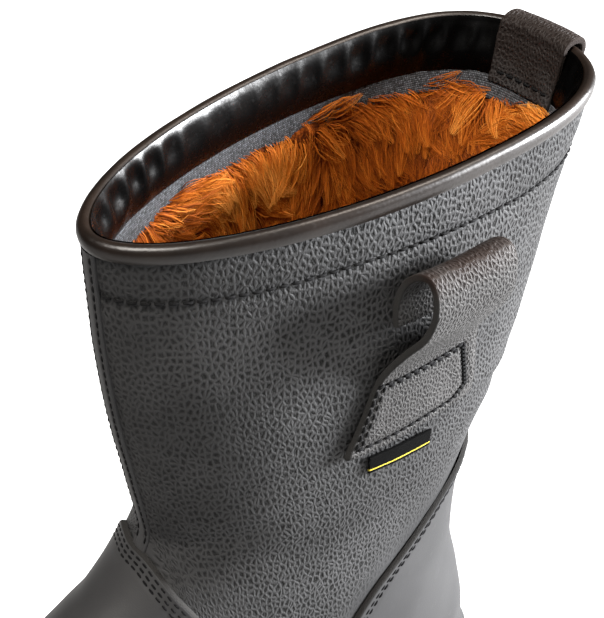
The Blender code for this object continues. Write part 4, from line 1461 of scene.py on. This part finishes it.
# %% Back strap
STRAP_ROW_Z = 254.2                 # height of the stitches on the strap's inner leg


def back_strap_point(line, normal, keep, share, high):
    y = line[:, 2:3] * (2 * share - 1)
    up = line[:, 1:2] + 0 * share
    wall = back_wall_x(y, np.minimum(up, COLLAR_RIM))
    lift = high * keep[:, None] * STRAP + 0.18 * soft_noise(y / 9, up / 8, 43)
    lift = lift - 0.3 * (high > 0) * trough(up - STRAP_ROW_Z, 0.9) * (line[:, :1] < 0)
    return np.stack([wall - line[:, :1] - lift * normal[:, :1], y, up + lift * normal[:, 1:2]], axis=-1)


strap_line, strap_normal, strap_keep = strap_rows(BACK_STRAP, 120)
strap_grid = back_strap_point(strap_line, strap_normal, strap_keep, share, high)
back_strap = make_strap("strap_leather", strap_grid, strap_grid[..., 1], cut, "back_strap")
# Painted shade and sheen: on the back strap the dark brown covers the inner leg and the upper part of the
# outer one.
paint_fold_sheen_shade(back_strap, strap_grid, 238.0, 256.0, 0.75)

# %% [markdown]
# ## Woven tag
#
# A small black woven tag is sewn on under the loop. It is a thin strip that lies on the leather, plain
# but for one line of yellow thread. Weave and line could be a picture, but drawn by the material on a
# map in millimetres they stay sharp from near. The strip's ends and edges are rounded in the mesh.

# %% Tag
TAG_X, TAG_Z, TAG_LEAN = -63.8, 171.3, 0.13
TAG_LONG, TAG_HIGH, TAG_THICK = 27.0, 7.2, 0.8
TAG_LINE, TAG_LINE_HALF = -2.1, 0.32        # the yellow line, across the tag


def tag_material():
    """Black weave with one line of yellow thread."""
    material, tree, shader = new_material("tag_weave")
    cloth = add_node(tree, "ShaderNodeUVMap", uv_map="cloth").outputs["UV"]
    weave = group_node(tree, weave_group, {"Cloth": cloth, "Yarn mm": 0.32})
    across = add_node(tree, "ShaderNodeSeparateXYZ", {0: cloth}).outputs["Y"]
    from_line = calculate(tree, "ABSOLUTE", calculate(tree, "SUBTRACT", across, TAG_LINE))
    line = calculate(tree, "LESS_THAN", from_line, TAG_LINE_HALF)
    ground = mix_colors(tree, weave["Speck"], (0.0005, 0.0005, 0.0005), (0.003, 0.003, 0.003))
    # Painted shade and highlight: the yellow thread is darker where the weave dips and brighter on its
    # crowns.
    yarn = mix_colors(tree, weave["Height"], (0.35, 0.26, 0.03), (0.80, 0.66, 0.10))
    tree.links.new(mix_colors(tree, line, ground, yarn), shader.inputs["Base Color"])
    shader.inputs["Roughness"].default_value = 0.9
    shader.inputs["Specular IOR Level"].default_value = 0.05
    tree.links.new(add_bump(tree, weave["Height"], 0.12), shader.inputs["Normal"])
    return material


def make_tag():
    share, high, _ = strap_section(13)
    end = np.array([0.487, 0.497, 0.5])
    along = np.concatenate([-end[::-1], np.linspace(-0.47, 0.47, 40), end])[:, None] * TAG_LONG
    keep = np.ones(len(along))
    keep[[0, 1, -2, -1]] = (0.0, 0.7, 0.7, 0.0)
    up = (share - 0.5) * TAG_HIGH
    x = TAG_X - along + 0 * up
    z = TAG_Z + up - TAG_LEAN * along
    curl = 0.25 * soft_noise(along / 7, 0.5, 45) * (np.abs(up) / 3) ** 2
    y = side_wall_y(x, z) + 0.6 + TAG_THICK / 2 - high * keep[:, None] * TAG_THICK + curl
    cloth = np.stack([along + 0 * up, up + 0 * along], axis=-1).reshape(-1, 2)
    points, faces = join_grids([(np.stack([x, y, z], axis=-1), True, True)])
    return make_piece("tag_cloth", points, faces, [tag_material()], ["woven_tag"], cloth=cloth)


make_tag()

# %% [markdown]
# ## Outsole
#
# The moulded rubber sole follows the feather line, with a rib round its side, an arch in front of the
# heel and lugs across the tread. Booleans could cut the lugs, but a ladder of profiles, as in the solid
# and at a finer step, keeps clean faces: rounded ribs, softened lug edges and a small bevel where the
# tread meets the side. Fine stipple and the bloom of moulded rubber are left to the material.

# %% Rubber
def rubber_material():
    material, tree, shader = new_material("black_rubber")
    place = place_of(tree)
    pore = group_node(tree, pore_group, {"Place": place, "Pore mm": 0.8})
    tone = group_node(tree, tone_group, {"Place": place, "Patch mm": 25.0})
    color = mix_colors(tree, tone["Tone"], (0.013, 0.013, 0.014), (0.030, 0.030, 0.031))
    tree.links.new(color, shader.inputs["Base Color"])
    tree.links.new(spread(tree, pore["Speck"], 0.0, 1.0, 0.55, 0.72), shader.inputs["Roughness"])
    tree.links.new(add_bump(tree, pore["Height"], 0.10), shader.inputs["Normal"])
    return material


# %% Profiles of the outsole
TREAD = [Level(-140, 1.5), Level(-126, 0.0), Level(-62, 0.0), Level(-57, 12.0), Level(-20, 11.0),
         Level(-12, 0.0), Level(96, 0.0), Level(125, 2.6), Level(170, 14.0)]
CLEAT_DEPTH, CLEAT_GAP, CLEAT_SLOPE = 5.0, 5.0, 0.8
CLEATS = [-113.0, -96.0, -79.0, 5.0, 22.0, 39.0, 56.0, 73.0, 90.0, 107.0, 124.0]
SOLE_SIDE = [Rib(3.0, 0.0), Rib(3.8, -0.2), Rib(4.25, -0.7), Rib(4.4, -1.5), Rib(4.4, -5.6), Rib(4.2, -6.3),
             Rib(3.6, -6.8), Rib(3.2, -7.4), Rib(3.2, -8.6), Rib(3.5, -9.2), Rib(4.0, -9.7), Rib(4.2, -10.4)]
TREAD_EDGE = [Rib(4.1, 1.6), Rib(3.9, 0.6), Rib(3.2, 0.0)]      # outset, and height over the tread
SHARP_FROM = radians(38)


def outline_points(xs, side, outset):
    """Feather line at the given x places, moved outwards by outset along its normal."""
    fine = HEEL_BACK + (TOE_TIP - HEEL_BACK) * (1 - np.cos(np.linspace(0, pi, 801))) / 2
    curve = np.stack([fine, outline_half(fine, side)], axis=1)
    way = unit(np.gradient(curve, axis=0))
    normal = np.stack([-way[:, 1], way[:, 0]], axis=1)
    normal[0] = (-1, 0)
    normal[-1] = (1, 0)
    x, y, nx, ny = (np.interp(xs, fine, column) for column in (*curve.T, *normal.T))
    return np.stack([x + outset * nx, side * (y + outset * ny)], axis=1)


def sole_places():
    """x places across the sole and how deep the tread is cut there, from 0 on a lug to 1 in a gap."""
    half = CLEAT_GAP / 2
    steps = [(-half, 0.0), (-half + 0.15, 0.1), (-half + CLEAT_SLOPE, 0.95), (-half + CLEAT_SLOPE + 0.3, 1.0)]
    steps += [(-offset, cut) for offset, cut in reversed(steps)]
    places = [(middle + offset, cut) for middle in CLEATS for offset, cut in steps]
    ends = 16.0 * (1 - np.cos(np.linspace(0, pi / 2, 14)))
    places += [(HEEL_BACK + run, None) for run in ends] + [(TOE_TIP - run, None) for run in ends]
    places += [(x, None) for x in np.arange(-110.0, 148.0, 2.5)]
    cuts = sorted((x, cut) for x, cut in places if cut is not None)
    xs = np.unique(np.round([x for x, _ in places], 3))
    return xs, np.interp(xs, [x for x, _ in cuts], [cut for _, cut in cuts])


print(len(CLEATS), "gaps in the tread")


# %% Outsole
def make_outsole():
    xs, cut = sole_places()
    under = smooth_curve([row.x for row in TREAD], [row.z for row in TREAD], xs) + CLEAT_DEPTH * cut
    top = feather_z(xs) - SEAM_GAP
    ladder = [(rib, top) for rib in SOLE_SIDE] + [(rib, under) for rib in TREAD_EDGE]
    lines = {}
    for side in (1, -1):
        lines[side] = [np.column_stack([outline_points(xs, side, rib.outset), level + rib.height])
                       for rib, level in ladder]
    ring = np.stack(lines[1] + lines[-1][::-1], axis=1)
    points, faces, _ = weld(*join_grids([(ring, False, True)]))
    sole = make_piece("sole_rubber", points, faces, [rubber_material()], ["outsole"])
    sole.data.set_sharp_from_angle(angle=SHARP_FROM)


make_outsole()

# %% [markdown]
# ## Fur lining
# Hairs rooted high in the shaft are painted lighter and those lower down darker, as painted light and shade.
#
# The boot is lined with long brown pile. Two layers make it: a lumpy bed of pile on the inner wall, and
# locks of single hairs that stand out of it. Hairs are flat ribbons whose wide side faces into the
# boot, so that they take light as one soft surface. Each hair bends towards the lock it belongs to, and
# a slow swirl turns the locks, so that partings open between them. Roots are dark and tips are pale.
# Blender's own hair could be combed, but an exported model needs plain meshes. At the top some tufts
# stand over the edge of the tape, and hairs that would come through the lining are moved inwards.

# %% Fur materials
PILE_COLORS = [(0.0, (0.016, 0.004, 0.001)), (0.3, (0.15, 0.030, 0.003)), (0.6, (0.43, 0.098, 0.009)),
               (0.82, (0.70, 0.205, 0.022)), (1.0, (0.88, 0.37, 0.070))]


def make_pile_group():
    """Colour of the pile from a tone: dark brown roots, orange lengths and golden tips."""
    tree, given, put = new_group("pile_color", {"Tone": (FLOAT, 0.5)}, ["Color"])
    ramp = add_node(tree, "ShaderNodeValToRGB", {"Fac": given.outputs["Tone"]})
    for place, _ in PILE_COLORS[1:-1]:
        ramp.color_ramp.elements.new(place)
    for element, (place, color) in zip(ramp.color_ramp.elements, PILE_COLORS):
        element.position = place
        element.color = (*color, 1)
    tree.links.new(ramp.outputs["Color"], put.inputs["Color"])
    return tree


pile_group = make_pile_group()


def hair_material():
    material, tree, shader = new_material("fur_hair")
    tone = add_node(tree, "ShaderNodeAttribute", attribute_name="tone").outputs["Fac"]
    color = group_node(tree, pile_group, {"Tone": tone})["Color"]
    tree.links.new(color, shader.inputs["Base Color"])
    shader.inputs["Roughness"].default_value = 0.6
    shader.inputs["Specular IOR Level"].default_value = 0.10
    return material


def pile_material():
    material, tree, shader = new_material("fur_pile")
    place = place_of(tree)
    lumps = group_node(tree, tone_group, {"Place": place, "Patch mm": 9.0})
    pore = group_node(tree, pore_group, {"Place": place, "Pore mm": 0.9})
    tone = calculate(tree, "MULTIPLY", calculate(tree, "ADD", lumps["Tone"], pore["Speck"]), 0.26)
    tree.links.new(group_node(tree, pile_group, {"Tone": tone})["Color"], shader.inputs["Base Color"])
    shader.inputs["Roughness"].default_value = 0.9
    shader.inputs["Specular IOR Level"].default_value = 0.1
    tree.links.new(add_bump(tree, pore["Height"], 0.7), shader.inputs["Normal"])
    return material


fur_hair = hair_material()
fur_pile = pile_material()
print("fur materials:", fur_hair.name, fur_pile.name)

# %% Bed of pile and footbed
FUR_TOP = 248.6
HALF_ROUND = 200                    # about so many millimetres from the front line round to the back
INSOLE_INSET, INSOLE_LIFT, INSOLE_THICK = 5.0, 0.1, 4.0


def make_pile():
    """Lumpy sheet inside the wall, from under the tape to the toe."""
    shaft = np.linspace(place_of_height(FUR_TOP), 4, 50, endpoint=False)
    places = np.concatenate([shaft, np.linspace(4, 19.5, 70)])
    place, fraction = np.meshgrid(places, np.linspace(0, 1, 64), indexing="ij")
    grids = []
    for side in (1, -1):
        round_mm = side * fraction * HALF_ROUND
        lumps = soft_noise(round_mm / 7, place * 4, 51) + 0.9 * soft_noise(round_mm / 17, place * 1.7, 52)
        depth = WALL + 0.6 + (1.9 + lumps) * np.clip((place - places[0]) * 6, 0, 1)
        point, _ = on_last(place, fraction, side, -depth)
        grids.append((point, side < 0))
    points, faces, _ = weld(*join_grids(grids))
    made = make_piece("fur_bed", points, faces, [fur_pile])


def make_footbed():
    """Crowned pile insole, flat below where it lies on the sole."""
    xs = HEEL_BACK + (TOE_TIP - HEEL_BACK) * (1 - np.cos(np.linspace(0, pi, 90))) / 2
    share = np.sin(np.linspace(-pi / 2, pi / 2, 31))
    outer, inner = (outline_points(xs, side, -INSOLE_INSET) for side in (1, -1))
    flat = inner[:, None] + (outer - inner)[:, None] * (0.5 + 0.5 * share)[None, :, None]
    low = feather_z(xs)[:, None] + INSOLE_LIFT + 0 * share
    crown = INSOLE_THICK * (1 - np.abs(share) ** 7) ** 0.5
    ends = np.clip(np.minimum(xs - xs[0], xs[-1] - xs) / 6, 0, 1)[:, None] ** 0.5
    lumps = 0.5 * soft_noise(flat[..., 0] / 8, flat[..., 1] / 8, 53)
    top = np.dstack([flat, low + ends * crown * (1 + 0.2 * lumps)])
    points, faces, _ = weld(*join_grids([(top, False), (np.dstack([flat, low]), True)]))
    footbed = make_piece("fur_footbed", points, faces, [fur_pile], ["insole"])


make_pile()
make_footbed()

# %% Where hairs grow
DENSE_ABOVE, SPARSE_ABOVE = 182.0, 150.0
SPARSE_SHARE = 0.3


def scatter_on_wall(count, random):
    """Random places on the lined wall of the shaft, dense above and sparse below."""
    rows = np.flatnonzero((PLACES > place_of_height(FUR_TOP - 2)) & (PLACES < 8))
    weights = []
    for side in (1, -1):
        grid = skin_points[side][rows]
        area = np.linalg.norm(np.cross(np.gradient(grid, axis=0), np.gradient(grid, axis=1)), axis=-1)
        z = grid[..., 2]
        want = np.where(z > DENSE_ABOVE, 1.0, np.where(z > SPARSE_ABOVE, SPARSE_SHARE, 0.0))
        weights.append((area * want).ravel())
    chance = np.concatenate(weights)
    pick = random.choice(len(chance), count, p=chance / chance.sum())
    half = len(weights[0])
    side = np.where(pick < half, 1, -1)
    row, column = np.divmod(pick % half, len(FRACTIONS))
    place = PLACES[rows[row]] + random.uniform(-0.5, 0.5, count) * PLACE_STEP
    fraction = FRACTIONS[column] + random.uniform(-0.5, 0.5, count) * FRACTIONS[1]
    return place, np.clip(fraction, 0, 1), side


# %% The course of a hair
HAIR_ROWS = 5
HAIR_LONG, HAIR_RISE = (11.0, 17.0), (2.0, 5.5)
TUFT_HIGH = 4.0                     # most that a hair stands up over the top of the fur
LINING_GAP = 4.5                    # hairs keep so far inside the outer face of the wall


def hair_curves(place, fraction, side, random):
    """Root, five points from the root, and the inward direction of each hair."""
    root, normal = ring_on_last(place, fraction, side, -(WALL + 1.5))
    inward = -normal
    down = unit(np.array([0, 0, -1.0]) - inward * (inward @ np.array([0, 0, -1.0]))[:, None])
    across = np.cross(inward, down)
    round_mm = side * fraction * HALF_ROUND
    z = root[:, 2]
    swirl = 2.1 * soft_noise(round_mm / 30 + 3, z / 26, 61) + 0.9 * soft_noise(round_mm / 11, z / 11, 62)
    near_top = np.clip((z - FUR_TOP + 8) / 6, 0, 1)
    tuft = soft_noise(round_mm / 9, 5.5, 63) > 0.15
    swirl = swirl + 2.2 * near_top * tuft + random.normal(0, 0.22, len(root))
    comb = np.cos(swirl)[:, None] * down + np.sin(swirl)[:, None] * across
    long = random.uniform(*HAIR_LONG, len(root))
    rise = random.uniform(*HAIR_RISE, len(root))
    t = np.linspace(0, 1, HAIR_ROWS)
    out = rise[:, None] * (1 - np.exp(-3 * t))
    run = long[:, None] * t ** 1.15
    bow = 1.6 * random.normal(0, 1, (len(root), 1)) * np.sin(pi * t)
    curve = out[..., None] * inward[:, None] + run[..., None] * comb[:, None]
    curve = curve + bow[..., None] * np.cross(inward, comb)[:, None]
    curve[..., 2] -= 2.2 * t ** 2
    over = np.maximum(root[:, 2:3] + curve[..., 2] - FUR_TOP, 0)
    curve[..., 2] -= over - TUFT_HIGH * (1 - np.exp(-over / TUFT_HIGH))
    return root, curve, inward


def keep_inside(points):
    """Points of the shaft moved towards its middle where they would come through the lining."""
    x, y, z = np.moveaxis(points, -1, 0)
    cut = section_at(place_of_height(np.maximum(z, 152)))
    middle = cut.top_x + (cut.base_x - cut.top_x) * cut.widest
    front = x > middle
    reach = np.where(front, cut.top_x - middle, middle - cut.base_x) - LINING_GAP
    power = np.where(front, cut.top_power, cut.base_power)
    half = np.where(y > 0, cut.outer, cut.inner) - LINING_GAP
    out = (np.abs((x - middle) / reach) ** power + np.abs(y / half) ** power) ** (1 / power)
    shrink = 1 / np.maximum(out, 1.0)
    return np.stack([middle + (x - middle) * shrink, y * shrink, z], axis=-1)


# %% Locks that hairs gather to
LOCKS = 2600


def make_locks():
    """Guides that hairs gather to, and a tree to find the nearest."""
    random = np.random.default_rng(70)
    root, curve, _ = hair_curves(*scatter_on_wall(LOCKS, random), random)
    tree = KDTree(LOCKS)
    for k, place in enumerate(root):
        tree.insert(Vector(place), k)
    tree.balance()
    return root, curve, random.uniform(-1, 1, LOCKS), tree


lock_root, lock_curve, lock_tone, lock_tree = make_locks()
print(LOCKS, "locks")

# %% Hairs
HAIRS_A_PIECE, FUR_PIECES = 22500, 3
HAIR_WIDE = (0.19, 0.32)


def make_hairs(number):
    random = np.random.default_rng(80 + number)
    root, curve, inward = hair_curves(*scatter_on_wall(HAIRS_A_PIECE, random), random)
    lock = np.array([lock_tree.find(Vector(place))[1] for place in root])
    t = np.linspace(0, 1, HAIR_ROWS)
    gather = (0.86 * t ** 1.2)[None, :, None]
    line = (root[:, None] + curve) * (1 - gather) + (lock_root[lock][:, None] + lock_curve[lock]) * gather
    line[:, 1:] = keep_inside(line[:, 1:])
    way = unit(np.gradient(line, axis=1))
    facing = unit(inward + random.normal(0, 0.35, inward.shape))[:, None]
    width = random.uniform(*HAIR_WIDE, len(root))[:, None, None] * (1 - 0.8 * t ** 2)[None, :, None]
    sideways = unit(np.cross(way, facing)) * width
    points = np.stack([line - sideways / 2, line + sideways / 2], axis=2)
    patch = soft_noise((root[:, 0] + 1.4 * root[:, 1]) / 19, root[:, 2] / 17, 64)[:, None]
    tone = 0.35 + 0.46 * t[None] ** 0.8 + 0.12 * lock_tone[lock][:, None]
    tone = tone + random.normal(0, 0.09, (len(root), 1))
    # Painted light and shade: hairs rooted high in the shaft are lighter, and those lower down darker.
    high = np.clip((root[:, 2:3] - 208) / 40, 0, 1)
    tone = tone - 0.24 * patch + 0.34 * (high - 0.62)
    tone = np.clip(np.repeat(tone[..., None], 2, axis=2), 0, 1)
    one = grid_faces(HAIR_ROWS, 2)
    faces = (one[None] + (np.arange(len(root)) * HAIR_ROWS * 2)[:, None, None]).reshape(-1, 4)
    piece = make_piece("fur_locks_%d" % number, points.reshape(-1, 3), faces, [fur_hair])
    set_mask(piece, "tone", tone)


for number in range(1, FUR_PIECES + 1):
    make_hairs(number)

# %% [markdown]
# ## Stitches
#
# Thread shows as short black stitches that dip into the leather at both ends. An array along a curve
# could repeat one stitch, but one function that lays tubes along any line keeps all of them in one mesh.
# There is one row round the collar, two down the front strip, three on the vamp, two on the counter, one
# on either side of the heel strip and one across each leg of the back strap. The loop has a five-sided
# box, with a second line along its front and top and a thick bar at its rear.

# %% Stitch maker
def thread_material():
    material, tree, shader = new_material("thread")
    place = place_of(tree)
    pore = group_node(tree, pore_group, {"Place": place, "Pore mm": 0.25})
    color = mix_colors(tree, pore["Speck"], (0.002, 0.002, 0.002), (0.010, 0.010, 0.011))
    tree.links.new(color, shader.inputs["Base Color"])
    shader.inputs["Roughness"].default_value = 0.8
    shader.inputs["Specular IOR Level"].default_value = 0.12
    tree.links.new(add_bump(tree, pore["Height"], 0.06), shader.inputs["Normal"])
    return material


STITCH_SHARES = np.array([-0.5, -0.40, -0.15, 0.15, 0.40, 0.5])
STITCH_DIP = np.array([-0.55, -0.05, 0.18, 0.18, -0.05, -0.55])
STITCH_SIDES = 6
Stitch = namedtuple("Stitch", "length gap radius")
COLLAR_STITCH, STRIP_STITCH = Stitch(3.0, 0.9, 0.48), Stitch(2.4, 0.7, 0.42)
OVERLAY_STITCH, LOOP_STITCH = Stitch(2.6, 0.7, 0.45), Stitch(2.6, 0.6, 0.52)
BAR_STITCH = Stitch(1.7, 0.1, 0.70)
stitch_grids = []


def stitch_row(points, normals, length, gap, radius):
    """Add the stitches of one line; points and normals follow the leather's surface."""
    walked = walked_along(points)
    count = max(int((walked[-1] + gap) / (length + gap)), 1)
    middle = (np.arange(count) + 0.5) * walked[-1] / count
    at = middle[:, None] + STITCH_SHARES * length
    place = np.stack([np.interp(at, walked, column) for column in points.T], axis=-1)
    outward = unit(np.stack([np.interp(at, walked, column) for column in normals.T], axis=-1))
    way = unit(np.gradient(place, axis=1))
    beside = unit(np.cross(way, outward))
    place = place + (STITCH_DIP * radius * 2)[None, :, None] * outward
    turn = np.linspace(0, 2 * pi, STITCH_SIDES, endpoint=False)
    ring = np.cos(turn)[:, None] * beside[:, :, None] + np.sin(turn)[:, None] * outward[:, :, None]
    grid = place[:, :, None] + radius * ring
    stitch_grids.extend((one, True, True) for one in grid)
    return count


# %% Rows on the shaft and overlays
HEEL_STRIP_FOOT = 36                # height at which the heel strip's stitches end


def collar_row():
    back = (np.abs(RIM[:, 1]) < 19.5) & (RIM[:, 0] < -120)
    keep = np.roll(np.arange(len(RIM)), -int(np.flatnonzero(back)[-1]) - 1)
    keep = keep[~back[keep]]
    height = stitch_z(RIM[keep, 0])
    return ring_on_last(place_of_height(height), RING_FRACTION[keep], RING_SIDE[keep], -0.25)


def heel_strip_rows(side):
    places = back_place(np.linspace(HEEL_STRIP_TOP - HEEL_STRIP_ROW, HEEL_STRIP_FOOT, 60))
    fraction = [strip_edge(place, side, HEEL_STRIP_HALF - HEEL_STRIP_ROW) for place in places]
    return on_last(places, np.array(fraction), side, 2 * (SEAM_GAP + OVERLAY) - 0.2)


def piping_row(side):
    z = np.linspace(PIPING_BOTTOM + 1, PIPING_TOP - 1, 120)
    y = PIPING_SIDE + side * PIPING_ROW + 0 * z
    outward = front_outward(y, z)
    return np.stack([front_wall_x(y, z), y, z], axis=1) + (PIPING_HIGH - PIPING_GROOVE) * outward, outward


made = {"collar": stitch_row(*collar_row(), *COLLAR_STITCH)}
made["front strip"] = sum(stitch_row(*piping_row(side), *STRIP_STITCH) for side in (1, -1))
made["overlays"] = sum(stitch_row(*row, *OVERLAY_STITCH) for row in overlay_rows)
made["heel strip"] = sum(stitch_row(*heel_strip_rows(side), *OVERLAY_STITCH) for side in (1, -1))
print("stitches so far:", made)

# %% Rows on the straps
SECOND_LINE = 2.2                   # second line of the loop's box, from the first
BAR_LINES = (0.0, 0.9)              # the two close lines of its thick bar
STRAP_FOOT_Z = 225.0                # height of the stitches on the back strap's outer leg


def on_loop(corners, count=80):
    """A line of corners in side view, laid on the outer face of the loop's sewn leg."""
    line = np.array([[corner.x, corner.z] for corner in corners], float)
    walked = walked_along(line)
    at = np.linspace(0, walked[-1], count)
    x, z = (np.interp(at, walked, column) for column in line.T)
    low = loop_line[:60]
    off = np.interp(z, low[:, 1], low[:, 0])
    y = side_wall_y(x, z) + off + STRAP / 2 - 0.2
    slope = (side_wall_y(x + 0.5, z) - side_wall_y(x - 0.5, z)) / 1.0
    return np.stack([x, y, z], axis=1), unit(np.stack([-slope, 1 + 0 * x, 0 * x], axis=1))


def inset_box(corners, inset):
    """The stitch box with every corner moved towards its middle."""
    middle = np.mean([[corner.x, corner.z] for corner in corners[:-1]], axis=0)
    moved = []
    for corner in corners:
        way = np.array([corner.x, corner.z]) - middle
        moved.append(Level(*(middle + way * (1 - inset / np.linalg.norm(way)))))
    return moved


inner_box = inset_box(STITCH_BOX, SECOND_LINE)
loop_lines = [STITCH_BOX[:3], inner_box[:3], STITCH_BOX[4:]]
made["loop"] = sum(stitch_row(*on_loop(line), *LOOP_STITCH) for line in loop_lines)
bars = [inset_box(STITCH_BOX, shift)[2:5] for shift in BAR_LINES]
made["loop"] += sum(stitch_row(*on_loop(bar), *BAR_STITCH) for bar in bars)
across = np.linspace(-11.5, 11.5, 40)
inner_x = back_wall_x(across, STRAP_ROW_Z) + 4.4 + STRAP / 2 - 0.2
inside = np.stack([inner_x, across, STRAP_ROW_Z + 0 * across], axis=1)
made["back strap"] = stitch_row(inside, np.tile([1.0, 0.0, 0.0], (40, 1)), *COLLAR_STITCH)
outer_x = back_wall_x(across, STRAP_FOOT_Z) - 1.7 - STRAP / 2 + 0.05
outside = np.stack([outer_x, across, STRAP_FOOT_Z + 0 * across], axis=1)
made["back strap"] += stitch_row(outside, np.tile([-1.0, 0.0, 0.0], (40, 1)), *COLLAR_STITCH)
stitch_points, stitch_faces = join_grids(stitch_grids)
make_piece("stitches", stitch_points, stitch_faces, [thread_material()])
print("stitches:", made)
